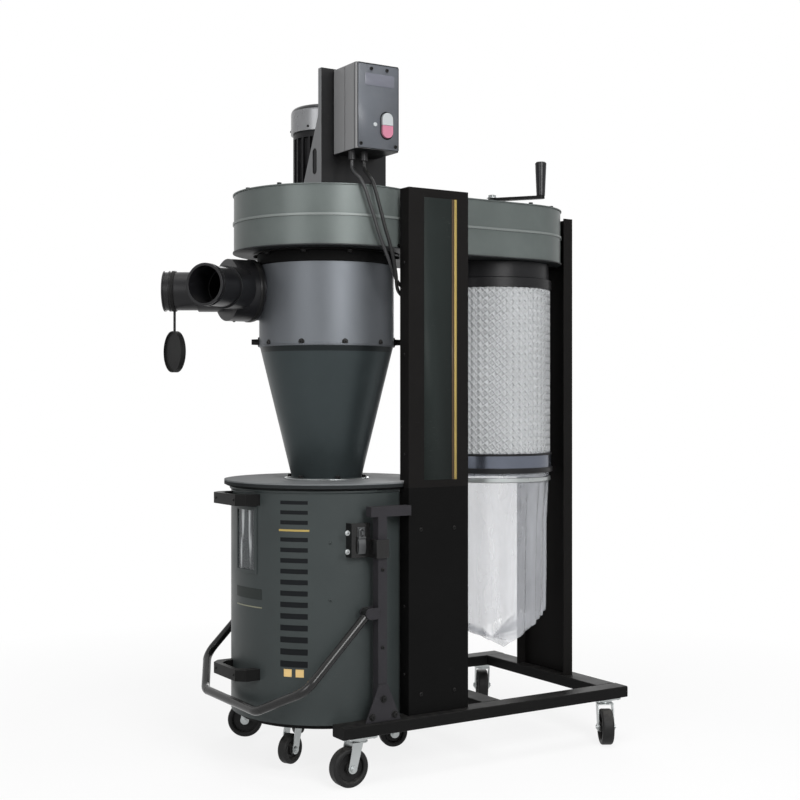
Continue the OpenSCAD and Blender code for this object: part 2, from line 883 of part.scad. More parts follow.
module cone() {
    color("#4b5157")
        in_frame()
            translate([axis_x, 0, 0])
                rotate_extrude()
                    polygon([[outlet_r, lid_top], [outlet_r + outlet_flange, lid_top],
                             [outlet_r + outlet_flange, lid_top + flange_t],
                             [outlet_r + skin_t, lid_top + flange_t],
                             [cone_top_r, seam_z], [cone_top_r, seam_z + lap_h],
                             [cone_top_r - skin_t, seam_z + lap_h], [cone_top_r - skin_t, seam_z]]);
}

module barrel() {
    color("#7d8185")
        in_frame()
            difference() {
                translate([axis_x, 0, 0]) {
                    translate([0, 0, seam_z])
                        ring(barrel_r, skin_t, barrel_h - fan_plate_t);
                    translate([0, 0, cellar_z - flange_t])
                        ring(barrel_r + top_flange, top_flange, flange_t);
                }
                translate([-duct_reach, inlet_y, inlet_z])
                    rotate([0, 90, 0])
                        cylinder(r = duct_r - duct_t, h = axis_x + duct_reach);
            }
}

module inlet_duct() {
    color("#6f7377")
        in_frame()
            difference() {
                translate([-duct_reach, inlet_y, inlet_z])
                    rotate([0, 90, 0])
                        ring(duct_r, duct_t, axis_x + duct_reach);
                translate([axis_x, 0, inlet_z - 2 * duct_r])
                    cylinder(r = barrel_r + seat_gap, h = 2 * 2 * duct_r);
            }
}

// A cylinder along a port's axis from one distance to another, +1 for the far port
module along_port(side, r, from, to) {
    translate([-split_x, inlet_y, inlet_z])
        rotate([0, -90, -side * port_slant])
            translate([0, 0, from])
                cylinder(r = r, h = to - from);
}

module inlet_wye() {
    socket_r = duct_r + seat_gap;
    color("#161718")
        in_frame()
            difference() {
                union() {
                    translate([-wye_start, inlet_y, inlet_z])
                        rotate([0, -90, 0])
                            cylinder(r = socket_r + wye_t, h = wye_end - wye_start);
                    for (s = [-1, 1])
                        along_port(s, port_r + wye_t, wye_end - split_x, port_foot);
                }
                translate([-wye_start + cut, inlet_y, inlet_z])
                    rotate([0, -90, 0])
                        cylinder(r = socket_r, h = wye_end - wye_start - wye_t + cut);
                for (s = [-1, 1])
                    along_port(s, port_r - port_t - port_stop, 0, port_foot + cut);
            }
}

// A port tube with two ribs and a lip
module port(side) {
    difference() {
        union() {
            along_port(side, port_r, port_foot, port_len);
            along_port(side, port_lip_r, port_len - rib_w, port_len);
            along_port(side, port_lip_r, port_len - rib_gap - rib_w, port_len - rib_gap);
        }
        along_port(side, port_r - port_t, port_foot - cut, port_len + cut);
    }
}

module near_port() {
    color("#161718")
        in_frame()
            port(-1);
}

module far_port() {
    color("#161718")
        in_frame()
            port(1);
}

module port_cap() {
    strap_at = port_len - strap_in;
    hang_x = -split_x - strap_at * cos(port_slant);
    hang_y = inlet_y + strap_at * sin(port_slant);
    cap_z = inlet_z - port_r - strap_drop;
    color("#161718")
        in_frame() {
            difference() {
                along_port(1, port_r + seat_gap + strap_t, strap_at - strap_w / 2, strap_at + strap_w / 2);
                along_port(1, port_r + seat_gap, strap_at - strap_w, strap_at + strap_w);
            }
            translate([hang_x, hang_y, 0])
                rotate([0, 0, cap_dir]) {
                    translate([-strap_t / 2, -strap_w / 2, cap_z - strap_t])
                        cube([strap_t, strap_w, strap_drop + strap_t / 2 - seat_gap]);
                    translate([0, 0, cap_z - cap_r])
                        rotate([0, 90, 0])
                            difference() {
                                translate([0, 0, -cap_h / 2])
                                    cylinder(r = cap_r, h = cap_h);
                                translate([0, 0, strap_t])
                                    cylinder(r = cap_r - strap_t, h = cap_h);
                            }
                }
        }
}

// The plan of the fan housing, grown outwards by a distance
module fan_plan(grow) {
    translate([axis_x, 0])
        circle(fan_r + grow, $fn = 96);
    translate([axis_x, -plenum_r - grow])
        square([filter_x - axis_x, 2 * plenum_r + 2 * grow]);
    translate([filter_x, 0])
        circle(plenum_r + grow, $fn = 96);
}

module fan_housing() {
    color("#6d7674")
        in_frame() {
            translate([0, 0, fan_z])
                linear_extrude(fan_h)
                    difference() {
                        fan_plan(0);
                        fan_plan(-fan_t);
                    }
            translate([0, 0, fan_z + fan_h / 2 - bead_h / 2])
                linear_extrude(bead_h)
                    difference() {
                        fan_plan(fan_lip);
                        fan_plan(-fan_t);
                    }
        }
}

module housing_top() {
    color("#6d7674")
        in_frame() {
            translate([0, 0, fan_top])
                linear_extrude(fan_plate_t)
                    fan_plan(fan_lip);
            translate([filter_x, 0, roof_z])
                cylinder(r = boss_r, h = boss_h);
            translate([filter_x, 0, lap_z])
                cylinder(r = spindle_r, h = spindle_h - boss_h);
        }
}

module housing_bottom() {
    color("#5b6361")
        in_frame()
            translate([0, 0, cellar_z])
                linear_extrude(fan_plate_t)
                    difference() {
                        fan_plan(fan_lip);
                        translate([axis_x, 0])
                            circle(barrel_r - skin_t - top_flange);
                        translate([filter_x, 0])
                            circle(neck_r - band_t);
                    }
}

// The brackets that tie the fan housing to the columns and to the end post
module housing_brackets() {
    post_web = base_len - end_post_in - sheet_t;
    color("#1d1e1f")
        in_frame() {
            both_sides()
                difference() {
                    translate([col_x, -col_y + col_d, fan_z + fan_plate_t])
                        cube([col_w, col_y - col_d - plenum_r - seat_gap, carry_t]);
                    translate([0, 0, fan_z])
                        linear_extrude(fan_h)
                            fan_plan(seat_gap);
                }
            translate([filter_x + neck_r + band_out, -carry_h / 2, cellar_z - carry_t])
                cube([post_web - filter_x - neck_r - band_out, carry_h, carry_t]);
        }
}

module motor_body() {
    color("#8f9396")
        in_frame()
            translate([axis_x, 0, motor_z]) {
                cylinder(r = motor_r - motor_rib, h = motor_h);
                cylinder(r = motor_r, h = motor_ring);
                translate([0, 0, motor_h - motor_ring])
                    cylinder(r = motor_r, h = motor_ring);
                for (i = [0 : motor_ribs - 1])
                    rotate([0, 0, 360 * i / motor_ribs])
                        translate([motor_r - 2 * motor_rib, -motor_rib_t / 2, motor_ring])
                            cube([2 * motor_rib - seat_gap, motor_rib_t, motor_h - 2 * motor_ring]);
            }
}

module motor_fan_cover() {
    color("#8f9396")
        in_frame()
            translate([axis_x, 0, cowl_z])
                difference() {
                    union() {
                        cylinder(r = cowl_r, h = cowl_h - cowl_edge);
                        cylinder(r = cowl_r - cowl_edge, h = cowl_h);
                        translate([0, 0, cowl_h - cowl_edge])
                            rotate_extrude()
                                translate([cowl_r - cowl_edge, 0])
                                    circle(cowl_edge);
                    }
                    for (i = [0 : cowl_slots - 1])
                        rotate([0, 0, 360 * i / cowl_slots])
                            translate([slot_in, -slot_w / 2, cowl_h - slot_w])
                                cube([slot_out - slot_in, slot_w, slot_w + cut]);
                }
}

// The tapered side of the switch bracket, in the plane of Y and Z
module stand_side() {
    rotate([90, 0, 90])
        linear_extrude(stand_t)
            difference() {
                polygon([[0, 0], [stand_d, 0], [stand_d, stand_step], [stand_top_d, stand_taper],
                         [stand_top_d, stand_h], [0, stand_h]]);
                translate([stand_d / 2 - stand_hole_r, stand_step + stand_hole_len])
                    oblong(stand_hole_r, stand_hole_len);
            }
}

module motor_bracket() {
    color("#7f8487")
        in_frame()
            translate([axis_x - stand_w / 2, -stand_y, roof_z]) {
                cube([stand_w, stand_t, stand_h]);
                stand_side();
                translate([stand_w - stand_t, 0, 0])
                    stand_side();
            }
}

module switch_box() {
    color("#3c3f42")
        in_frame() {
            for (c = [cable_a, cable_b])
                translate([c[0][0], c[0][1], gland_z])
                    cylinder(r = gland_r, h = gland_h);
            translate([axis_x, -box_back - box_d / 2, box_z])
                difference() {
                    linear_extrude(box_h)
                        round_rect(box_w, box_d, box_corner);
                    difference() {
                        translate([-box_w / 2 - cut, -box_groove_w / 2, -cut])
                            cube([box_w + 2 * cut, box_groove_w, box_h + 2 * cut]);
                        translate([-box_w / 2 + box_groove, -box_groove_w, box_groove])
                            cube([box_w - 2 * box_groove, 2 * box_groove_w, box_h - 2 * box_groove]);
                    }
                }
        }
}

// One half of the push button, -1 for the lower half
module button_half(side) {
    translate([axis_x + button_x, -box_front, box_z + button_up])
        rotate([90, 0, 0])
            intersection() {
                linear_extrude(button_out)
                    oblong(button_w / 2, button_h - button_w);
                translate([-button_w, side > 0 ? face_gap : -button_h - face_gap, -cut])
                    cube([2 * button_w, button_h, button_out + 2 * cut]);
            }
}

module start_button() {
    color("#e9e9e6")
        in_frame() {
            button_half(1);
            translate([axis_x + button_x - lamp_x, -box_front, box_z + button_up])
                rotate([90, 0, 0])
                    cylinder(r = lamp_r, h = button_out / 2);
        }
}

module stop_button() {
    color("#c23a34")
        in_frame()
            button_half(-1);
}

module motor_cable() {
    color("#5a5c5e")
        in_frame()
            cable(cable_a);
}

module power_cable() {
    color("#202122")
        in_frame()
            cable(cable_b);
}

module filter_neck() {
    color("#161718")
        in_frame()
            translate([filter_x, 0, neck_z])
                ring(neck_r, band_t, neck_h);
}

module filter_head() {
    color("#5a646d")
        in_frame()
            translate([filter_x, 0, head_z])
                cylinder(r = filter_r + band_out, h = head_h);
}

module filter_pleats() {
    tip_r = filter_r - cage_t - seat_gap;
    color("#e8e8e4")
        in_frame()
            translate([filter_x, 0, cage_z])
                linear_extrude(cage_h)
                    difference() {
                        polygon([for (i = [0 : 2 * pleats - 1])
                            let (r = i % 2 == 0 ? tip_r : tip_r - pleat_d)
                                [r * cos(180 * i / pleats), r * sin(180 * i / pleats)]]);
                        circle(tip_r - pleat_d - core_t);
                    }
}

module filter_cage() {
    color("#f0f0ee")
        in_frame()
            translate([filter_x, 0, cage_z]) {
                intersection() {
                    ring(filter_r, cage_t, cage_h);
                    for (i = [0 : cage_strips - 1])
                        rotate([0, 0, 360 * i / cage_strips])
                            translate([filter_r - 2 * cage_t, -cage_w / 2, 0])
                                cube([2 * 2 * cage_t, cage_w, cage_h]);
                }
                for (i = [1 : cage_hoops])
                    translate([0, 0, i * hoop_share * cage_h - cage_w / 2])
                        ring(filter_r, cage_t, cage_w);
            }
}

// The clamp ring round the top of the bag with its closing block
module bag_clamp() {
    inner = bag_r + seat_gap;
    difference() {
        union() {
            cylinder(r = inner + clamp_t, h = clamp_h);
            rotate([0, 0, clamp_dir])
                translate([0, -clamp_block, 0])
                    cube([inner + clamp_block, 2 * clamp_block, clamp_h]);
        }
        translate([0, 0, -cut])
            cylinder(r = inner, h = clamp_h + 2 * cut);
    }
}

module filter_band() {
    color("#5a646d")
        in_frame()
            translate([filter_x, 0, 0]) {
                translate([0, 0, band_z])
                    ring(filter_r + band_out, band_t + band_out, band_h);
                translate([0, 0, band_z - clamp_down - clamp_h])
                    bag_clamp();
            }
}

// A round bag from the seam under its foot up to a height, closed at both ends
module bag_form(r, foot_z, top_z) {
    rise = 2 * bag_foot / bag_r * r;
    translate([filter_x, 0, 0])
        intersection() {
            translate([0, 0, foot_z - cut])
                cylinder(r = r, h = top_z - foot_z + cut);
            rotate([90, 0, bag_seam_dir - 90])
                translate([0, 0, -2 * r])
                    linear_extrude(2 * 2 * r)
                        polygon([[0, foot_z], [2 * r, foot_z + rise], [2 * r, top_z + cut],
                                 [-2 * r, top_z + cut], [-2 * r, foot_z + rise]]);
        }
}

module dust_bag() {
    foot_z = bag_z - bag_foot;
    rim_z = band_z + bag_mouth;
    color("#d9dddf", 0.4)
        in_frame()
            difference() {
                bag_form(bag_r, foot_z, rim_z);
                bag_form(bag_r - bag_t, foot_z + 2 * bag_t, rim_z + cut);
            }
}

// The lever as a flat bent tube, turned down to its rest slope about the pivot
module lift_lever() {
    path = [[-eye_r + pin_r / 2, lever_eye_y], [-arm_len, lever_eye_y], [-lever_reach, bar_half],
            [-lever_reach, -bar_half], [-arm_len, -lever_eye_y], [-eye_r + pin_r / 2, -lever_eye_y]];
    color("#1c1d1e")
        in_frame()
            translate([pivot_x, 0, pivot_z])
                rotate([0, -lever_slope, 0])
                    difference() {
                        union() {
                            flat_tube(path, bend_r, lever_r);
                            for (s = [-1, 1])
                                translate([0, s * lever_eye_y + eye_len / 2, 0])
                                    rotate([90, 0, 0])
                                        cylinder(r = eye_r, h = eye_len);
                        }
                        for (s = [-1, 1])
                            translate([0, s * lever_eye_y + eye_len / 2 + cut, 0])
                                rotate([90, 0, 0])
                                    cylinder(r = pin_r + pin_fit, h = eye_len + 2 * cut);
                    }
}

// A block out of the drum's front, in the window's direction
module window_block(w, h) {
    translate([axis_x, 0, window_z])
        rotate([0, 0, window_dir])
            translate([0, -w / 2, -h / 2])
                cube([drum_r + lid_r, w, h]);
}

module drum_wall() {
    color("#4b5157")
        in_frame()
            difference() {
                union() {
                    translate([axis_x, 0, drum_z])
                        ring(drum_r, drum_t, drum_h - rim_r);
                    translate([axis_x, 0, drum_top - rim_r])
                        rotate_extrude()
                            translate([drum_r - drum_t / 2, 0])
                                circle(rim_r);
                }
                window_block(window_w, window_h);
            }
}

module drum_base() {
    color("#202224")
        in_frame()
            translate([axis_x, 0, dolly_z]) {
                cylinder(r = dolly_r, h = dolly_h);
                translate([0, 0, dolly_h])
                    cylinder(r = drum_r - drum_t - seat_gap, h = floor_t);
            }
}

module window_frame() {
    color("#1a1b1c")
        in_frame()
            difference() {
                intersection() {
                    translate([axis_x, 0, window_z - window_h])
                        ring(drum_r + seat_gap + frame_proud, frame_proud, 2 * window_h);
                    window_block(window_w + 2 * frame_w, window_h + 2 * frame_w);
                }
                window_block(window_w, window_h);
            }
}

module window_pane() {
    color("#9fb0b8", 0.5)
        in_frame()
            intersection() {
                translate([axis_x, 0, window_z - window_h])
                    ring(drum_r, drum_t, 2 * window_h);
                window_block(window_w - 2 * seat_gap, window_h - 2 * seat_gap);
            }
}

// One drum handle, in the direction of the drum end
module drum_handle(z) {
    u = drum_r + handle_reach;
    v = handle_len / 2;
    b = handle_bevel;
    translate([axis_x, 0, z - handle_h / 2])
        difference() {
            rotate([0, 0, 180])
                linear_extrude(handle_h)
                    difference() {
                        polygon([[0, -v], [u - b, -v], [u, -v + b], [u, v - b], [u - b, v], [0, v]]);
                        polygon([[0, -v + handle_foot], [u - handle_bar - b, -v + handle_foot],
                                 [u - handle_bar, -v + handle_foot + b],
                                 [u - handle_bar, v - handle_foot - b],
                                 [u - handle_bar - b, v - handle_foot], [0, v - handle_foot]]);
                    }
            translate([0, 0, -cut])
                cylinder(r = drum_r + seat_gap, h = handle_h + 2 * cut);
        }
}

module drum_handles() {
    color("#151617")
        in_frame()
            for (z = handle_zs)
                drum_handle(z);
}

// The near guide jaw: a pad on the drum and a hook round the lift post, open to the filter end
module guide_jaw() {
    left = post_x - post_w / 2 - jaw_gap - jaw_t;
    hook_y = post_out + jaw_gap;
    difference() {
        union() {
            translate([left - pad_w + jaw_t, -post_in + jaw_gap, jaw_z])
                cube([pad_w, post_in - jaw_gap, pad_h]);
            translate([left, -hook_y - jaw_t, jaw_z])
                cube([jaw_t, hook_y + jaw_t - post_in + jaw_gap, jaw_h]);
            translate([left + jaw_t, -hook_y - jaw_t, jaw_z])
                cube([post_w + jaw_gap, jaw_t, jaw_h]);
        }
        translate([axis_x, 0, jaw_z - cut])
            cylinder(r = drum_r + seat_gap, h = pad_h + 2 * cut);
    }
}

module guide_jaws() {
    color("#1a1b1c")
        in_frame()
            both_sides()
                guide_jaw();
}

// The bowed handle of a latch, seen from its side
module latch_bow(tall) {
    bow_r = (tall * tall + latch_d * latch_d) / latch_d / 4;
    intersection() {
        square([latch_d, tall]);
        translate([latch_d - bow_r, tall / 2])
            difference() {
                circle(bow_r, $fn = 96);
                circle(bow_r - latch_t, $fn = 96);
            }
    }
}

// The near toggle latch on the pad of the guide jaw: base, knuckle, bowed handle, catch and wire loop
module toggle_latch() {
    knuckle_z = knuckle_share * latch_h;
    arch_z = latch_h - latch_w / 2;
    loop_r = latch_w / 2 - 2 * wire_r;
    translate([post_x - post_w / 2 - jaw_gap - pad_w / 2, -post_in + jaw_gap, jaw_z + catch_h]) {
        translate([-latch_w / 2, -latch_t, 0])
            cube([latch_w, latch_t, latch_h]);
        translate([-latch_w / 2, -latch_d / 2, knuckle_z])
            rotate([0, 90, 0])
                cylinder(r = latch_d / 2 - latch_t / 2, h = latch_w);
        translate([-latch_w / 2, 0, 0])
            rotate([90, 0, 90])
                linear_extrude(latch_w)
                    mirror([1, 0])
                        latch_bow(knuckle_z);
        translate([-catch_w / 2, -latch_d, arch_z - catch_h])
            cube([catch_w, latch_d, catch_h]);
        for (s = [-1, 1])
            translate([s * loop_r, -latch_d / 2, knuckle_z])
                cylinder(r = wire_r, h = arch_z - knuckle_z + cut);
        translate([0, -latch_d / 2, arch_z])
            rotate([90, 0, 0])
                rotate_extrude(angle = 180)
                    translate([loop_r, 0])
                        circle(wire_r + seat_gap);
    }
}

module toggle_latches() {
    color("#b4b6b8")
        in_frame()
            both_sides()
                toggle_latch();
}

module drum_caster_plates() {
    color("#b4b6b8")
        in_frame()
            for (p = drum_stems)
                translate([p[0], p[1], dolly_z])
                    caster_top();
}

module near_front_fork() {
    color("#b4b6b8")
        in_frame()
            base_fork_at(0);
}

module far_front_fork() {
    color("#b4b6b8")
        in_frame()
            base_fork_at(1);
}

module near_rear_fork() {
    color("#b4b6b8")
        in_frame()
            base_fork_at(2);
}

module far_rear_fork() {
    color("#b4b6b8")
        in_frame()
            base_fork_at(3);
}

module near_front_wheel() {
    color("#1d1d1d")
        in_frame()
            base_wheel_at(0);
}

module far_front_wheel() {
    color("#1d1d1d")
        in_frame()
            base_wheel_at(1);
}

module near_rear_wheel() {
    color("#1d1d1d")
        in_frame()
            base_wheel_at(2);
}

module far_rear_wheel() {
    color("#1d1d1d")
        in_frame()
            base_wheel_at(3);
}

module drum_fork_a() {
    color("#b4b6b8")
        in_frame()
            drum_fork_at(0);
}

module drum_fork_b() {
    color("#b4b6b8")
        in_frame()
            drum_fork_at(1);
}

module drum_fork_c() {
    color("#b4b6b8")
        in_frame()
            drum_fork_at(2);
}

module drum_wheel_a() {
    color("#1d1d1d")
        in_frame()
            drum_wheel_at(0);
}

module drum_wheel_b() {
    color("#1d1d1d")
        in_frame()
            drum_wheel_at(1);
}

module drum_wheel_c() {
    color("#1d1d1d")
        in_frame()
            drum_wheel_at(2);
}

module crank() {
    color("#2a2c2d")
        in_frame()
            translate([filter_x, 0, crank_z])
                rotate([0, 0, crank_dir]) {
                    difference() {
                        linear_extrude(crank_t) {
                            circle(crank_w / 2);
                            translate([0, -crank_w / 2])
                                square([crank_len, crank_w]);
                            translate([crank_len, 0])
                                circle(crank_w / 2);
                        }
                        translate([0, 0, -cut])
                            cylinder(r = spindle_r + pin_fit, h = crank_t + 2 * cut);
                    }
                    translate([crank_len, 0, crank_t])
                        cylinder(r = grip_pin_r, h = grip_len / 2);
                }
}

module crank_grip() {
    color("#161718")
        in_frame()
            translate([filter_x, 0, crank_z + crank_t + face_gap])
                rotate([0, 0, crank_dir])
                    translate([crank_len, 0, 0])
                        difference() {
                            union() {
                                cylinder(r1 = grip_foot_r, r2 = grip_top_r, h = grip_len - grip_edge);
                                translate([0, 0, grip_len - grip_edge])
                                    cylinder(r1 = grip_top_r, r2 = grip_top_r - grip_edge, h = grip_edge);
                            }
                            translate([0, 0, -cut])
                                cylinder(r = grip_pin_r + pin_fit, h = grip_len / 2 + cut + face_gap);
                        }
}

side_rails();
cross_rails();
base_caster_plates();
columns();
column_covers();
end_post();
lift_posts();
drum_lid();
lid_seal();
cone();
barrel();
inlet_duct();
inlet_wye();
near_port();
far_port();
port_cap();
fan_housing();
housing_top();
housing_bottom();
housing_brackets();
motor_body();
motor_fan_cover();
motor_bracket();
switch_box();
start_button();
stop_button();
motor_cable();
power_cable();
filter_neck();
filter_head();
filter_pleats();
filter_cage();
filter_band();
dust_bag();
lift_lever();
drum_wall();
drum_base();
window_frame();
window_pane();
drum_handles();
guide_jaws();
toggle_latches();
drum_caster_plates();
near_front_fork();
far_front_fork();
near_rear_fork();
far_rear_fork();
near_front_wheel();
far_front_wheel();
near_rear_wheel();
far_rear_wheel();
drum_fork_a();
drum_fork_b();
drum_fork_c();
drum_wheel_a();
drum_wheel_b();
drum_wheel_c();
crank();
crank_grip();
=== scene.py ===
"""Looks of a mobile cyclone dust collector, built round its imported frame."""

import logging
import math
from dataclasses import dataclass
from enum import Enum
from typing import Callable, ClassVar, Optional, Sequence, Union

import bmesh
import bpy
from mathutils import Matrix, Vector


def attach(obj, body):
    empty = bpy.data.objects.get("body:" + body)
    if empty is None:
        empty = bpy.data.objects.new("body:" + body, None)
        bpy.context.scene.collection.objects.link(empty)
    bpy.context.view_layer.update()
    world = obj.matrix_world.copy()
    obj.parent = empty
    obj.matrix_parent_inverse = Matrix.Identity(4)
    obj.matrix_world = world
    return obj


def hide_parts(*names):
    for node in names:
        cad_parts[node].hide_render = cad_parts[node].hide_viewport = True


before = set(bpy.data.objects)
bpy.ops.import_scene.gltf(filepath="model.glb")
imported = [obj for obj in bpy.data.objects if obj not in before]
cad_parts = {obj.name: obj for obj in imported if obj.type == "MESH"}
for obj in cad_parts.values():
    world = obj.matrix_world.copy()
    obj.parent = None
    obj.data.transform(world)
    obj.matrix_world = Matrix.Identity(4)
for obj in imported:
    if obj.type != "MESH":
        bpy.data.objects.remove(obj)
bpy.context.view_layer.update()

MM = 0.001
X_MID = 310.7813
PRINT_GAP = 0.05
RING_STEPS = 96
DUST = (0.42, 0.40, 0.37, 1.0)
DIM_EDGE = (0.05, 0.05, 0.05)
UP, DOWN = Vector((0, 0, 1)), Vector((0, 0, -1))
FLOAT, INT, VECTOR = "NodeSocketFloat", "NodeSocketInt", "NodeSocketVector"
MATERIAL, GEOMETRY = "NodeSocketMaterial", "NodeSocketGeometry"
LOG = logging.getLogger("dust_collector")
Colour = tuple[float, float, float]
Socket = bpy.types.NodeSocket
Fed = Union[Socket, float, int, bool, str, Sequence[float], bpy.types.Material, None]
Put = Callable[[float, float, float], Vector]
Spots = Sequence[tuple[Vector, Vector]]


class Side(Enum):
    """The two sides of the centre line."""

    NEAR = -1
    FAR = 1


class Surface(Enum):
    """The kinds of skin that a solid piece can have."""

    POWDER = "powder coat"
    SATIN = "satin paint"
    MOULDED = "moulded plastic"
    RUBBER = "rubber"
    PLATED = "plated steel"


class Zone(Enum):
    """How a finish tells where its second colour lies; on most finishes here it is painted light or shade."""

    NONE = "one tone all over"
    HEIGHTS = "between two heights"
    ACROSS = "on faces that look across the machine"


def place(x: float, y: float, z: float) -> Vector:
    """A point in metres in the part's frame.

    Args:
        x: millimetres from the drum end of the base.
        y: millimetres from the centre line, negative on the near side.
        z: millimetres above the floor.

    Returns:
        The same point in the part's frame.
    """
    return Vector(((x - X_MID) * MM, y * MM, z * MM))


def about(axis_x: float, radius: float, degrees: float, z: float) -> Vector:
    """A point at a radius and a direction about an upright axis on the centre line, as place() gives it."""
    turn = math.radians(degrees)
    return place(axis_x + radius * math.cos(turn), radius * math.sin(turn), z)


def outward(degrees: float) -> Vector:
    """The level unit vector in a direction."""
    return Vector((math.cos(math.radians(degrees)), math.sin(math.radians(degrees)), 0))


def circle_spots(axis_x: float, radius: float, ways: Sequence[float], z: float,
                 facing: Optional[Vector] = None) -> Spots:
    """Spots for fasteners round an upright axis on the centre line.

    Args:
        axis_x: distance of the axis from the drum end.
        radius: distance of the spots from the axis.
        ways: direction of each spot from the axis.
        z: height of the spots.
        facing: the direction that they all face, or None where each faces away from the axis.

    Returns:
        Place and outward direction of each spot.
    """
    return [(about(axis_x, radius, way, z), outward(way) if facing is None else facing) for way in ways]


class Plan:
    """A node tree with short ways to add and join its nodes."""

    def __init__(self, tree: bpy.types.NodeTree) -> None:
        """Keeps the tree."""
        self.tree = tree

    def feed(self, socket: Socket, value: Fed) -> None:
        """Joins a socket to another one, or sets its value."""
        if isinstance(value, bpy.types.NodeSocket):
            self.tree.links.new(value, socket)
        elif value is not None:
            socket.default_value = value

    def node(self, kind: str, props: Optional[dict] = None, **inputs: Fed) -> bpy.types.Node:
        """Adds a node.

        Args:
            kind: the node's type name.
            props: settings of the node itself.
            **inputs: values or sockets by input name, with _ for a space.

        Returns:
            The new node.
        """
        made = self.tree.nodes.new(kind)
        for key, value in (props or {}).items():
            setattr(made, key, value)
        for key, value in inputs.items():
            self.feed(made.inputs[key.replace("_", " ")], value)
        return made

    def _fed(self, kind: str, props: dict, values: Sequence[Fed]) -> bpy.types.Node:
        """A node whose inputs are fed in their order."""
        made = self.node(kind, props)
        for socket, value in zip(made.inputs, values):
            self.feed(socket, value)
        return made

    def math(self, operation: str, *values: Fed, clamp: bool = False) -> Socket:
        """The result of a math node."""
        return self._fed("ShaderNodeMath", {"operation": operation, "use_clamp": clamp}, values).outputs[0]

    def vector(self, operation: str, *values: Fed) -> bpy.types.Node:
        """A vector math node with its inputs fed."""
        return self._fed("ShaderNodeVectorMath", {"operation": operation}, values)

    def blend(self, factor: Fed, low: Fed, high: Fed) -> Socket:
        """A colour between two colours."""
        made = self.node("ShaderNodeMix", {"data_type": "RGBA"})
        for index, value in ((0, factor), (6, low), (7, high)):
            self.feed(made.inputs[index], value)
        return made.outputs[2]

    def span(self, value: Fed, start: float, end: float, low: float = 0.0, high: float = 1.0) -> Socket:
        """A value carried from one span to another, held at both ends."""
        made = self.node("ShaderNodeMapRange", {"clamp": True}, Value=value, From_Min=start,
                         From_Max=end, To_Min=low, To_Max=high)
        return made.outputs[0]

    def noise(self, vector: Fed, scale: Fed, detail: float = 2.0, rough: float = 0.5) -> Socket:
        """The value of a noise texture."""
        return self.node("ShaderNodeTexNoise", Vector=vector, Scale=scale, Detail=detail,
                         Roughness=rough).outputs[0]

    def group(self, tree: bpy.types.NodeTree, **inputs: Fed) -> bpy.types.Node:
        """Places a shader group in the tree."""
        return self.node("ShaderNodeGroup", {"node_tree": tree}, **inputs)


def add_sockets(tree: bpy.types.NodeTree, inputs: Sequence[tuple], outputs: Sequence[tuple]) -> None:
    """Adds the sockets of a node group.

    Args:
        tree: the group.
        inputs: name, socket type and start value of each input.
        outputs: name and socket type of each output.
    """
    for label, kind, value in inputs:
        socket = tree.interface.new_socket(name=label, in_out="INPUT", socket_type=kind)
        if value is not None:
            socket.default_value = value
    for label, kind in outputs:
        tree.interface.new_socket(name=label, in_out="OUTPUT", socket_type=kind)


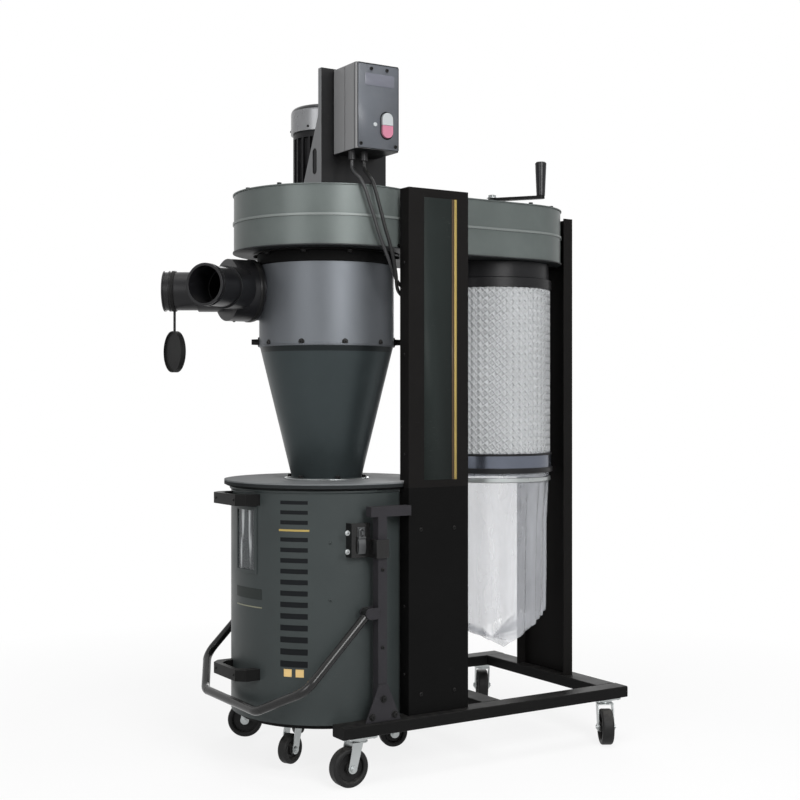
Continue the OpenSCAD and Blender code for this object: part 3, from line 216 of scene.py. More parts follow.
class SkinGroups:
    """The shader groups that the finishes share, each built once."""

    _made: ClassVar[dict[str, bpy.types.NodeTree]] = {}

    @classmethod
    def _start(cls, name: str, inputs: Sequence[tuple], outputs: Sequence[tuple]) -> tuple:
        """A new shader group.

        Args:
            name: name of the group.
            inputs: name, socket type and start value of each input.
            outputs: name and socket type of each output.

        Returns:
            The group's plan, its input node and its output node.
        """
        tree = bpy.data.node_groups.new(name, "ShaderNodeTree")
        add_sockets(tree, inputs, outputs)
        cls._made[name] = tree
        plan = Plan(tree)
        return plan, plan.node("NodeGroupInput"), plan.node("NodeGroupOutput")

    @classmethod
    def grain(cls) -> bpy.types.NodeTree:
        """Fine relief and slow mottling: Height and Tint from 0 to 1."""
        if "skin_grain" not in cls._made:
            plan, given, out = cls._start(
                "skin_grain",
                [("Vector", VECTOR, None), ("Grain", FLOAT, 800.0),
                 ("Patch", FLOAT, 9.0)],
                [("Height", FLOAT), ("Tint", FLOAT)])
            fine = plan.noise(given.outputs["Vector"], given.outputs["Grain"], 2.0, 0.55)
            slow = plan.noise(given.outputs["Vector"], given.outputs["Patch"], 5.0, 0.6)
            plan.feed(out.inputs["Height"], fine)
            plan.feed(out.inputs["Tint"], plan.span(slow, 0.3, 0.7))
        return cls._made["skin_grain"]

    @classmethod
    def wear(cls) -> bpy.types.NodeTree:
        """Marks of use: Scuff, Dust and Edge masks, and a Normal that rounds sharp edges."""
        if "use_marks" not in cls._made:
            plan, given, out = cls._start(
                "use_marks",
                [("Vector", VECTOR, None), ("Radius", FLOAT, 0.0015)],
                [("Scuff", FLOAT), ("Dust", FLOAT),
                 ("Edge", FLOAT), ("Normal", VECTOR)])
            vector = given.outputs["Vector"]
            streak = plan.node("ShaderNodeMapping", Vector=vector, Scale=(60, 60, 420),
                               Rotation=(0.3, 0.2, 0.1))
            lines = plan.noise(streak.outputs[0], 1.0, 3.0, 0.6)
            where = plan.span(plan.noise(vector, 7.0, 2.0), 0.5, 0.66)
            plan.feed(out.inputs["Scuff"], plan.math("MULTIPLY", plan.span(lines, 0.62, 0.7), where))
            surface = plan.node("ShaderNodeNewGeometry")
            up = plan.node("ShaderNodeSeparateXYZ", Vector=surface.outputs["Normal"]).outputs["Z"]
            lying = plan.span(plan.noise(vector, 45.0, 4.0, 0.65), 0.35, 0.75)
            plan.feed(out.inputs["Dust"], plan.math("MULTIPLY", plan.span(up, 0.4, 1.0), lying))
            soft = plan.node("ShaderNodeBevel", {"samples": 4}, Radius=given.outputs["Radius"])
            dot = plan.vector("DOT_PRODUCT", soft.outputs[0], surface.outputs["Normal"])
            bend = plan.span(dot.outputs["Value"], 0.995, 0.86)
            rub = plan.span(plan.noise(vector, 70.0, 3.0), 0.42, 0.7)
            plan.feed(out.inputs["Edge"], plan.math("MULTIPLY", bend, rub))
            plan.feed(out.inputs["Normal"], soft.outputs[0])
        return cls._made["use_marks"]


def new_material(name: str) -> tuple[bpy.types.Material, Plan, bpy.types.Node]:
    """A material with an empty Principled shader.

    Args:
        name: name of the material.

    Returns:
        The material, its plan and its shader node.
    """
    made = bpy.data.materials.new(name)
    made.use_nodes = True
    made.node_tree.nodes.clear()
    plan = Plan(made.node_tree)
    shader = plan.node("ShaderNodeBsdfPrincipled")
    plan.node("ShaderNodeOutputMaterial", Surface=shader.outputs[0])
    return made, plan, shader


def shade(colour: Colour, by: float) -> tuple[float, float, float, float]:
    """A colour made lighter or darker, with full alpha."""
    return (*(min(1.0, part * by) for part in colour), 1.0)


class Finish:
    """A finish that becomes a material at its first use."""

    name: str

    def material(self) -> bpy.types.Material:
        """The finish as a material.

        Returns:
            The material of that name.
        """
        title = self.name + "_skin"
        if title in bpy.data.materials:
            return bpy.data.materials[title]
        made, plan, shader = new_material(title)
        self.wire(plan, shader, plan.node("ShaderNodeTexCoord").outputs["Object"])
        return made

    def wire(self, plan: Plan, shader: bpy.types.Node, vector: Socket) -> None:
        """Adds the finish's own nodes.

        Args:
            plan: the material's plan.
            shader: its Principled shader.
            vector: the piece's coordinates.
        """
        raise NotImplementedError


@dataclass(frozen=True)
class SolidFinish(Finish):
    """The finish of a solid piece: paint, plastic, rubber or plated steel."""

    name: str
    colour: Colour
    skin: Surface = Surface.SATIN
    rough: float = 0.45
    metal: float = 0.0
    specular: float = 0.35
    mottle: float = 0.08
    dust: float = 0.12
    scuff: float = 0.10
    edge: float = 0.25
    edge_colour: Colour = (0.20, 0.20, 0.20)
    edge_radius: float = 0.0014
    grain: float = 900.0
    relief: float = 0.00004
    # zone, heights and second lay a second colour on part of a finish; on the lid, cone, barrel, housing,
    # motor cowl and motor stand that colour is painted light or shade.
    zone: Zone = Zone.NONE
    heights: tuple[float, float] = (0.0, 0.0)
    second: Colour = (0.01, 0.01, 0.01)

    def wire(self, plan: Plan, shader: bpy.types.Node, vector: Socket) -> None:
        """Adds the finish's own nodes."""
        grain = plan.group(SkinGroups.grain(), Vector=vector, Grain=self.grain)
        marks = plan.group(SkinGroups.wear(), Vector=vector, Radius=self.edge_radius)
        base = plan.blend(grain.outputs["Tint"], shade(self.colour, 1 - self.mottle),
                          shade(self.colour, 1 + self.mottle))
        base = self._zoned(plan, vector, base)
        worn = plan.blend(plan.math("MULTIPLY", marks.outputs["Edge"], self.edge), base,
                          (*self.edge_colour, 1.0))
        rubbed = plan.blend(plan.math("MULTIPLY", marks.outputs["Scuff"], self.scuff), worn,
                            shade(self.edge_colour, 1.2))
        dust_and_painted_glints = plan.blend(plan.math("MULTIPLY", marks.outputs["Dust"], self.dust), rubbed, DUST)
        plan.feed(shader.inputs["Base Color"], dust_and_painted_glints)
        uneven = plan.span(grain.outputs["Tint"], 0.0, 1.0, self.rough - 0.05, self.rough + 0.06)
        plan.feed(shader.inputs["Roughness"], plan.math(
            "ADD", uneven, plan.math("MULTIPLY", marks.outputs["Dust"], 0.3 * self.dust), clamp=True))
        shader.inputs["Metallic"].default_value = self.metal
        shader.inputs["Specular IOR Level"].default_value = self.specular
        height = self._relief(plan, vector, grain.outputs["Height"])
        bump = plan.node("ShaderNodeBump", Strength=0.6, Distance=self.relief, Height=height,
                         Normal=marks.outputs["Normal"])
        plan.feed(shader.inputs["Normal"], bump.outputs[0])

    def _zoned(self, plan: Plan, vector: Socket, base: Socket) -> Socket:
        """The finish's colour with its second colour laid in, which on most finishes here is painted light or
        shade.

        Args:
            plan: the material's plan.
            vector: the piece's coordinates.
            base: the first tone.

        Returns:
            A colour socket.
        """
        if self.zone is Zone.NONE:
            return base
        if self.zone is Zone.ACROSS:
            # Faces that look across the machine: painted shade on the motor stand.
            way = plan.node("ShaderNodeNewGeometry").outputs["Normal"]
            across = plan.node("ShaderNodeSeparateXYZ", Vector=way).outputs["Y"]
            mask = plan.span(plan.math("ABSOLUTE", across), 0.6, 0.7)
        else:
            # A band between two heights: painted light or shade on the lid, cone, barrel, housing and motor
            # cowl.
            z = plan.node("ShaderNodeSeparateXYZ", Vector=vector).outputs["Z"]
            low, high = (height * MM for height in self.heights)
            soft = 0.4 * MM
            mask = plan.math("MULTIPLY", plan.span(z, low, low + soft), plan.span(z, high, high - soft))
        return plan.blend(mask, base, shade(self.second, 1.0))

    def _relief(self, plan: Plan, vector: Socket, fine: Socket) -> Socket:
        """The height of the skin's own relief.

        Args:
            plan: the material's plan.
            vector: the piece's coordinates.
            fine: the shared fine relief.

        Returns:
            A height socket.
        """
        if self.skin is Surface.POWDER:
            pits = plan.node("ShaderNodeTexVoronoi", Vector=vector, Scale=self.grain * 0.6)
            return plan.math("ADD", fine, plan.math("MULTIPLY", pits.outputs["Distance"], 0.6))
        if self.skin is Surface.PLATED:
            brushed = plan.node("ShaderNodeMapping", Vector=vector, Scale=(30, 900, 900))
            return plan.math("ADD", fine, plan.noise(brushed.outputs[0], 1.0, 3.0))
        if self.skin is Surface.RUBBER:
            return plan.math("ADD", fine, plan.noise(vector, self.grain * 0.2, 3.0))
        if self.skin is Surface.MOULDED:
            return plan.math("MULTIPLY", fine, plan.noise(vector, self.grain * 0.5, 1.0))
        return plan.math("ADD", fine, plan.noise(vector, self.grain * 0.15, 1.0))


@dataclass(frozen=True)
class FilmFinish(Finish):
    """Clear film or pane: a thin skin that lets part of the light through."""

    name: str
    colour: Colour
    cover: float
    crumple: float
    rough: float = 0.16
    crease_scale: float = 26.0
    streak: float = 0.0

    def wire(self, plan: Plan, shader: bpy.types.Node, vector: Socket) -> None:
        """Adds the finish's own nodes."""
        grain = plan.group(SkinGroups.grain(), Vector=vector, Grain=self.crease_scale * 3, Patch=14.0)
        stretch = plan.node("ShaderNodeMapping", Vector=vector, Scale=(1.0, 1.0, 0.35))
        folds = plan.node("ShaderNodeTexVoronoi", {"feature": "DISTANCE_TO_EDGE"},
                          Vector=stretch.outputs[0], Scale=self.crease_scale)
        crease = plan.span(folds.outputs["Distance"], 0.0, 0.25, 1.0, 0.0)
        # Long streaks of a pale colour: on the window pane (streak above zero) they are a painted reflection;
        # the bag film has none.
        hang = plan.node("ShaderNodeMapping", Vector=vector, Scale=(1.0, 1.0, 0.09))
        long = plan.noise(hang.outputs[0], (2 * self.streak + 0.6) * self.crease_scale, 2.0, 0.5)
        dust_and_painted_glints = plan.math("MULTIPLY", plan.span(long, 0.52, 0.62), self.streak)
        tone = plan.blend(grain.outputs["Tint"], shade(self.colour, 0.98), shade(self.colour, 1.02))
        plan.feed(shader.inputs["Base Color"], plan.blend(dust_and_painted_glints, tone, (0.62, 0.64, 0.65, 1.0)))
        thick = plan.math("MULTIPLY_ADD", crease, 0.06 * self.crumple, self.cover)
        thick = plan.math("ADD", thick, plan.math("MULTIPLY", dust_and_painted_glints, 0.5))
        plan.feed(shader.inputs["Alpha"], plan.math(
            "ADD", thick, plan.span(long, 0.3, 0.7, -0.2 * self.crumple, 0.2 * self.crumple), clamp=True))
        plan.feed(shader.inputs["Roughness"], plan.span(
            grain.outputs["Tint"], 0.0, 1.0, self.rough - 0.04, self.rough + 0.06))
        shader.inputs["Specular IOR Level"].default_value = 0.6
        height = plan.math("ADD", plan.math("MULTIPLY", crease, 0.5), grain.outputs["Height"])
        bump = plan.node("ShaderNodeBump", Strength=self.crumple, Distance=0.002, Height=height)
        plan.feed(shader.inputs["Normal"], bump.outputs[0])


@dataclass(frozen=True)
class FilterCloth(Finish):
    """Pleated filter cloth with a faint felt and settled dust in its folds."""

    name: str = "filter_cloth"
    colour: Colour = (0.90, 0.91, 0.91)

    def wire(self, plan: Plan, shader: bpy.types.Node, vector: Socket) -> None:
        """Adds the finish's own nodes."""
        grain = plan.group(SkinGroups.grain(), Vector=vector, Grain=1400.0, Patch=11.0)
        felt = plan.noise(vector, 260.0, 4.0, 0.7)
        tone = plan.blend(grain.outputs["Tint"], shade(self.colour, 0.9), shade(self.colour, 1.06))
        plan.feed(shader.inputs["Base Color"], plan.blend(
            plan.span(felt, 0.45, 0.75, 0.0, 0.25), tone, shade(self.colour, 0.75)))
        plan.feed(shader.inputs["Roughness"], plan.span(felt, 0.3, 0.7, 0.82, 0.95))
        shader.inputs["Specular IOR Level"].default_value = 0.1
        bump = plan.node("ShaderNodeBump", Strength=0.7, Distance=0.0004,
                         Height=plan.math("ADD", felt, grain.outputs["Height"]))
        plan.feed(shader.inputs["Normal"], bump.outputs[0])


class Paint:
    """The finishes of this machine."""

    FRAME = SolidFinish("frame_black", (0.0075, 0.0075, 0.0075), Surface.POWDER, 0.5, specular=0.05,
                        edge_colour=DIM_EDGE, relief=0.00006, dust=0.04)
    COLUMN = SolidFinish("column_black", (0.0075, 0.0070, 0.0068), Surface.POWDER, 0.52, specular=0.045,
                         edge_colour=DIM_EDGE, dust=0.05)
    COVER = SolidFinish("cover_black", (0.0050, 0.0050, 0.0050), Surface.POWDER, 0.6, specular=0.03,
                        edge_colour=DIM_EDGE, relief=0.00008, dust=0.04)
    POST = SolidFinish("post_grey", (0.023, 0.022, 0.025), Surface.SATIN, 0.5, 0.05, specular=0.14,
                       edge_colour=(0.10, 0.10, 0.11), dust=0.06)
    # The lid's top is painted a light grey that stands for the highlight along its front edge; its rim from
    # 700 to 727.5 mm keeps a dark grey.
    LID = SolidFinish("lid_grey", (0.150, 0.158, 0.162), Surface.SATIN, 0.6, 0.0, specular=0.03,
                      edge=0.1, edge_colour=(0.20, 0.21, 0.21), dust=0.08, zone=Zone.HEIGHTS,
                      heights=(700.0, 727.5), second=(0.022, 0.024, 0.025))
    # The cone's band from 1060 to 1080 mm, just under the barrel's seam, is painted dark: a painted shadow of
    # the barrel's rim.
    SLATE = SolidFinish("slate_paint", (0.036, 0.045, 0.047), Surface.SATIN, 0.38, 0.5, specular=0.15,
                        edge_colour=(0.12, 0.12, 0.12), mottle=0.05, zone=Zone.HEIGHTS,
                        heights=(1060.0, 1080.0), second=(0.014, 0.017, 0.018))
    DRUM = SolidFinish("drum_slate", (0.035, 0.042, 0.042), Surface.SATIN, 0.42, 0.1, specular=0.2,
                       edge_colour=(0.12, 0.12, 0.12), mottle=0.06)
    # The barrel's band from 1285 to 1330 mm, under the fan housing, is painted near black: painted shade.
    BARREL = SolidFinish("barrel_grey", (0.113, 0.121, 0.132), Surface.SATIN, 0.48, 0.6, specular=0.1,
                         mottle=0.05, scuff=0.0, zone=Zone.HEIGHTS, heights=(1285.0, 1330.0),
                         second=(0.006, 0.006, 0.006))
    # The housing's band from 1390.5 to 1397.5 mm is painted lighter: a painted highlight along its bead.
    HOUSING = SolidFinish("housing_grey", (0.098, 0.112, 0.108), Surface.SATIN, 0.34, 0.15, specular=0.14,
                          mottle=0.09, scuff=0.05, edge_colour=(0.22, 0.24, 0.23), zone=Zone.HEIGHTS,
                          heights=(1390.5, 1397.5), second=(0.165, 0.182, 0.176))
    # The housing's bottom plate is painted far darker than the housing: painted shade on its underside.
    HOUSING_UNDER_SHADE = SolidFinish("housing_under", (0.020, 0.022, 0.023), Surface.SATIN, 0.5, 0.0, specular=0.15)
    PLASTIC = SolidFinish("black_plastic", (0.0075, 0.0075, 0.0085), Surface.MOULDED, 0.32, specular=0.26,
                          edge_colour=DIM_EDGE, dust=0.05)
    HANDLE = SolidFinish("handle_black", (0.006, 0.006, 0.006), Surface.MOULDED, 0.4, specular=0.08,
                         edge_colour=DIM_EDGE, dust=0.04)
    MOTOR = SolidFinish("motor_dark", (0.012, 0.012, 0.013), Surface.SATIN, 0.4, 0.1, specular=0.14)
    # The cowl's band from 1688 to 1720 mm is painted dark: painted shade on its rounded top.
    COWL = SolidFinish("motor_cowl", (0.195, 0.198, 0.205), Surface.SATIN, 0.28, 0.5, zone=Zone.HEIGHTS,
                       heights=(1688.0, 1720.0), second=(0.030, 0.031, 0.033))
    # Faces that look across the machine are painted near black: painted shade standing for the switch box's
    # shadow on the bracket plate.
    STAND = SolidFinish("stand_grey", (0.130, 0.133, 0.138), Surface.SATIN, 0.34, 0.35, zone=Zone.ACROSS,
                        second=(0.006, 0.006, 0.0065))
    BOX = SolidFinish("box_grey", (0.205, 0.206, 0.210), Surface.MOULDED, 0.42, specular=0.25, mottle=0.04,
                      zone=Zone.HEIGHTS, heights=(1500.0, 1554.8), second=(0.007, 0.007, 0.008))
    PANEL = SolidFinish("panel_grey", (0.120, 0.124, 0.148), Surface.MOULDED, 0.3, specular=0.3, mottle=0.04)
    FRONT = SolidFinish("box_front_grey", (0.088, 0.095, 0.108), Surface.MOULDED, 0.35, specular=0.25,
                        mottle=0.10)
    WHITE = SolidFinish("button_white", (0.38, 0.40, 0.41), Surface.MOULDED, 0.25, mottle=0.03, edge=0.0,
                        dust=0.03)
    RED = SolidFinish("button_red", (0.43, 0.16, 0.23), Surface.MOULDED, 0.25, mottle=0.05, edge=0.0)
    SHEATH = SolidFinish("cable_grey", (0.022, 0.022, 0.023), Surface.RUBBER, 0.4)
    SHEATH_BLACK = SolidFinish("cable_black", (0.008, 0.008, 0.008), Surface.RUBBER, 0.4, specular=0.25)
    BAND = SolidFinish("band_grey", (0.125, 0.138, 0.170), Surface.SATIN, 0.2, 0.8,
                       edge_colour=(0.3, 0.32, 0.36))
    NECK = SolidFinish("neck_black", (0.012, 0.012, 0.013), Surface.SATIN, 0.36, specular=0.14, dust=0.04,
                       edge_colour=DIM_EDGE)
    CAGE = SolidFinish("cage_white", (0.45, 0.462, 0.472), Surface.SATIN, 0.5, specular=0.2, mottle=0.04,
                       edge=0.0)
    FLEECE = SolidFinish("filter_fleece", (0.49, 0.50, 0.51), Surface.MOULDED, 0.9, specular=0.05,
                         mottle=0.05, edge=0.0)
    LEVER = SolidFinish("lever_black", (0.007, 0.007, 0.007), Surface.SATIN, 0.2, specular=0.34, dust=0.04,
                        scuff=0.05, edge_colour=(0.10, 0.10, 0.10), relief=0.00001)
    CAP = SolidFinish("cap_black", (0.010, 0.010, 0.010), Surface.MOULDED, 0.5, specular=0.08, edge=0.1,
                      dust=0.03)
    SEAL = SolidFinish("seal_rubber", (0.008, 0.008, 0.008), Surface.RUBBER, 0.75, specular=0.1)
    TYRE = SolidFinish("tyre_rubber", (0.010, 0.010, 0.010), Surface.RUBBER, 0.55, specular=0.2, dust=0.15)
    ZINC = SolidFinish("zinc_plate", (0.40, 0.42, 0.42), Surface.PLATED, 0.3, 0.9, edge=0.1, mottle=0.12)
    LATCH = SolidFinish("latch_steel", (0.085, 0.088, 0.090), Surface.PLATED, 0.36, 0.7, edge=0.3,
                        edge_colour=(0.35, 0.36, 0.36), mottle=0.15)
    DARK_BOLT = SolidFinish("dark_bolt", (0.010, 0.010, 0.010), Surface.PLATED, 0.35, 0.0, specular=0.12,
                            edge=0.2, edge_colour=(0.06, 0.06, 0.06))
    # Near black for the flat hexagon on each fastener head: painted shade standing for the socket's recess.
    SOCKET_SHADE = SolidFinish("socket_dark", (0.004, 0.004, 0.004), Surface.MOULDED, 0.7, specular=0.05)
    YELLOW = SolidFinish("stripe_gold", (0.36, 0.265, 0.075), Surface.SATIN, 0.4, mottle=0.06, edge=0.0)
    BRONZE = SolidFinish("stripe_bronze", (0.050, 0.028, 0.010), Surface.SATIN, 0.4, mottle=0.06, edge=0.0)
    BADGE = SolidFinish("badge_green", (0.015, 0.019, 0.018), Surface.SATIN, 0.5, mottle=0.10, edge=0.0,
                        specular=0.08)
    BARS = SolidFinish("bar_black", (0.005, 0.006, 0.007), Surface.SATIN, 0.5, specular=0.1, edge=0.0)
    ORANGE = SolidFinish("bar_orange", (0.66, 0.46, 0.19), Surface.SATIN, 0.4, edge=0.0)
    LABEL = SolidFinish("label_dark", (0.021, 0.025, 0.024), Surface.SATIN, 0.5, specular=0.12, edge=0.0)
    PALE = SolidFinish("line_pale", (0.19, 0.19, 0.13), Surface.SATIN, 0.4, edge=0.0)
    CLOTH = FilterCloth()
    FILM = FilmFinish("bag_film", (0.60, 0.615, 0.65), 0.37, 0.4)
    # streak lays pale vertical streaks on the dark pane: a painted reflection.
    PANE = FilmFinish("window_pane_clear", (0.06, 0.07, 0.075), 0.55, 0.0, rough=0.06, streak=0.7)


def dress(finish: Finish, *nodes: str) -> None:
    """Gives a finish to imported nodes.

    Args:
        finish: the finish.
        *nodes: names of the nodes.
    """
    for name in nodes:
        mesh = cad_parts[name].data
        mesh.materials.clear()
        mesh.materials.append(finish.material())
        LOG.info("dressed %s in %s", name, finish.name)


def link_piece(name: str, mesh: bpy.types.Mesh, body: str) -> bpy.types.Object:
    """Puts a finished mesh into the scene as a piece.

    Args:
        name: name of the piece.
        mesh: its mesh, in the part's frame.
        body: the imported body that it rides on.

    Returns:
        The piece.
    """
    piece = bpy.data.objects.new(name, mesh)
    bpy.context.scene.collection.objects.link(piece)
    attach(piece, body)
    LOG.info("built %s on %s, %d faces", name, body, len(mesh.polygons))
    return piece


def mesh_of(name: str, points: Sequence[Vector], faces: Sequence[Sequence[int]], finish: Finish,
            smooth: float = 35.0) -> bpy.types.Mesh:
    """A mesh with outward faces.

    Args:
        name: name of the mesh.
        points: its points.
        faces: point numbers of each face.
        finish: its finish.
        smooth: edges that bend by less than this many degrees are smooth.

    Returns:
        The mesh.
    """
    mesh = bpy.data.meshes.new(name)
    mesh.from_pydata([tuple(p) for p in points], [], [tuple(f) for f in faces])
    work = bmesh.new()
    work.from_mesh(mesh)
    bmesh.ops.remove_doubles(work, verts=work.verts, dist=1e-6)
    bmesh.ops.recalc_face_normals(work, faces=work.faces)
    work.to_mesh(mesh)
    work.free()
    mesh.shade_smooth()
    mesh.set_sharp_from_angle(angle=math.radians(smooth))
    mesh.materials.append(finish.material())
    return mesh


def loop_faces(steps: int, count: int) -> list[tuple[int, int, int, int]]:
    """The faces of a ring of closed outlines.

    Args:
        steps: number of outlines round the ring.
        count: number of points of each outline.

    Returns:
        The point numbers of each face.
    """
    return [(i * count + k, i * count + (k + 1) % count,
             (i + 1) % steps * count + (k + 1) % count, (i + 1) % steps * count + k)
            for i in range(steps) for k in range(count)]


def ring(name: str, profile: Sequence[tuple[float, float]], axis_x: float, finish: Finish) -> None:
    """A ring on the frame, turned about an upright axis on the centre line.

    Args:
        name: name of the piece.
        profile: radius and height of each corner of a closed outline, in millimetres.
        axis_x: distance of the axis from the drum end.
        finish: its finish.
    """
    points = [about(axis_x, r, 360 * i / RING_STEPS, z) for i in range(RING_STEPS) for r, z in profile]
    mesh = mesh_of(name, points, loop_faces(RING_STEPS, len(profile)), finish)
    link_piece(name, mesh, "frame")


def plate(name: str, outline: Sequence[tuple[float, float]], thick: float, finish: Finish,
          put: Put) -> bpy.types.Mesh:
    """A thin plate or printed patch with a bevelled face.

    Args:
        name: name of the mesh.
        outline: corners of the plate, in order.
        thick: its thickness.
        finish: its finish.
        put: gives the place of a point from its two flat sizes and its height.

    Returns:
        The mesh.
    """
    count = len(outline)
    mid = [sum(p[k] for p in outline) / count for k in (0, 1)]
    inset = [tuple(c + (m - c) * min(1.0, thick / max(abs(m - c), 1e-6)) * 0.5 for c, m in zip(p, mid))
             for p in outline]
    points = [put(*p, 0.0) for p in outline] + [put(*p, thick * 0.6) for p in outline]
    points += [put(*p, thick) for p in inset]
    faces = [tuple(range(count)), tuple(range(2 * count, 3 * count))]
    for level in (0, count):
        faces += [(level + k, level + (k + 1) % count, level + count + (k + 1) % count, level + count + k)
                  for k in range(count)]
    return mesh_of(name, points, faces, finish)


def rounded(w: float, h: float, r: float, steps: int = 5) -> list[tuple[float, float]]:
    """The outline of a rectangle with round corners about its middle."""
    points = []
    for k, (sx, sy) in enumerate(((1, 1), (-1, 1), (-1, -1), (1, -1))):
        for i in range(steps + 1):
            turn = math.radians(90 * k + 90 * i / steps)
            points.append((sx * (w / 2 - r) + r * math.cos(turn), sy * (h / 2 - r) + r * math.sin(turn)))
    return points


class NodeTool:
    """A Geometry Nodes tree that is built once and turned into plain meshes."""

    name: ClassVar[str] = "tool"
    sizes: ClassVar[tuple] = ()
    _tree: ClassVar[Optional[bpy.types.NodeTree]] = None

    @classmethod
    def tree(cls) -> bpy.types.NodeTree:
        """The tree, built at its first use."""
        if cls._tree is None:
            made = bpy.data.node_groups.new(cls.name, "GeometryNodeTree")
            made.is_modifier = True
            add_sockets(made, (("Geometry", GEOMETRY, None), *cls.sizes), (("Geometry", GEOMETRY),))
            plan = Plan(made)
            cls.wire(plan, plan.node("NodeGroupInput").outputs, plan.node("NodeGroupOutput"))
            cls._tree = made
        return cls._tree

    @classmethod
    def wire(cls, plan: Plan, given: bpy.types.bpy_prop_collection, out: bpy.types.Node) -> None:
        """Adds the tree's nodes between its input and its output."""
        raise NotImplementedError

    @classmethod
    def run(cls, start: bpy.types.Mesh, **values: Fed) -> bpy.types.Mesh:
        """Runs the tree on a start mesh.

        Args:
            start: the mesh that carries the points to work on.
            **values: the tree's inputs by name, with _ for a space.

        Returns:
            The result as a plain mesh.
        """
        tree = cls.tree()
        carrier = bpy.data.objects.new(cls.name + "_carrier", start)
        bpy.context.scene.collection.objects.link(carrier)
        modifier = carrier.modifiers.new(cls.name, "NODES")
        modifier.node_group = tree
        for item in tree.interface.items_tree:
            key = item.name.replace(" ", "_")
            if item.item_type == "SOCKET" and item.in_out == "INPUT" and key in values:
                modifier[item.identifier] = values[key]
        graph = bpy.context.evaluated_depsgraph_get()
        mesh = bpy.data.meshes.new_from_object(carrier.evaluated_get(graph), depsgraph=graph)
        carrier.modifiers.remove(modifier)
        bpy.data.objects.remove(carrier)
        return mesh


class FastenerTool(NodeTool):
    """Screws, bolts and rivets on points that carry their outward direction."""

    name = "fasteners"
    sizes = (("Washer Radius", FLOAT, 0.006), ("Washer Height", FLOAT, 0.001),
             ("Head Radius", FLOAT, 0.004), ("Top Radius", FLOAT, 0.0034),
             ("Head Height", FLOAT, 0.003), ("Head Sides", INT, 14),
             ("Socket Radius", FLOAT, 0.0018), ("Metal", MATERIAL, None),
             ("Dark", MATERIAL, None))

    @staticmethod
    def lifted(plan: Plan, shape: bpy.types.Node, height: Fed) -> bpy.types.Node:
        """The mesh of a node, moved up by a height."""
        way = plan.node("ShaderNodeCombineXYZ", Z=height).outputs[0]
        return plan.node("GeometryNodeTransform", Geometry=shape.outputs["Mesh"], Translation=way)

    @classmethod
    def wire(cls, plan: Plan, given: bpy.types.bpy_prop_collection, out: bpy.types.Node) -> None:
        """A washer, a tapered head and a flat near-black hexagon on each point, painted shade that stands for
        the socket's recess.
        """
        half = plan.math("MULTIPLY", given["Washer Height"], 0.5)
        washer = plan.node("GeometryNodeMeshCylinder", Vertices=18, Radius=given["Washer Radius"],
                           Depth=given["Washer Height"])
        low = cls.lifted(plan, washer, half)
        head = plan.node("GeometryNodeMeshCone", Vertices=given["Head Sides"],
                         Radius_Bottom=given["Head Radius"], Radius_Top=given["Top Radius"],
                         Depth=given["Head Height"])
        seat = cls.lifted(plan, head, given["Washer Height"])
        # A flat near-black hexagon just above the head: painted shade in place of a sunk socket.
        socket = plan.node("GeometryNodeMeshCircle", {"fill_type": "NGON"}, Vertices=6,
                           Radius=given["Socket Radius"])
        tall = plan.math("ADD", given["Washer Height"], given["Head Height"])
        high = cls.lifted(plan, socket, plan.math("ADD", tall, 0.03 * MM))
        marked = plan.node("GeometryNodeStoreNamedAttribute", {"data_type": "BOOLEAN", "domain": "FACE"},
                           Geometry=high.outputs[0], Name="is_socket")
        marked.inputs["Value"].default_value = True
        parts = plan.node("GeometryNodeJoinGeometry")
        for made in (low, seat, marked):
            plan.feed(parts.inputs[0], made.outputs[0])
        way = plan.node("GeometryNodeInputNamedAttribute", {"data_type": "FLOAT_VECTOR"}, Name="out")
        turn = plan.node("FunctionNodeAlignRotationToVector", {"axis": "Z"}, Vector=way.outputs["Attribute"])
        spread = plan.node("GeometryNodeInstanceOnPoints", Points=given["Geometry"],
                           Instance=parts.outputs[0], Rotation=turn.outputs[0])
        real = plan.node("GeometryNodeRealizeInstances", Geometry=spread.outputs[0])
        metal = plan.node("GeometryNodeSetMaterial", Geometry=real.outputs[0], Material=given["Metal"])
        inside = plan.node("GeometryNodeInputNamedAttribute", {"data_type": "BOOLEAN"}, Name="is_socket")
        dark = plan.node("GeometryNodeSetMaterial", Geometry=metal.outputs[0], Material=given["Dark"],
                         Selection=inside.outputs["Attribute"])
        plan.feed(out.inputs[0], dark.outputs[0])


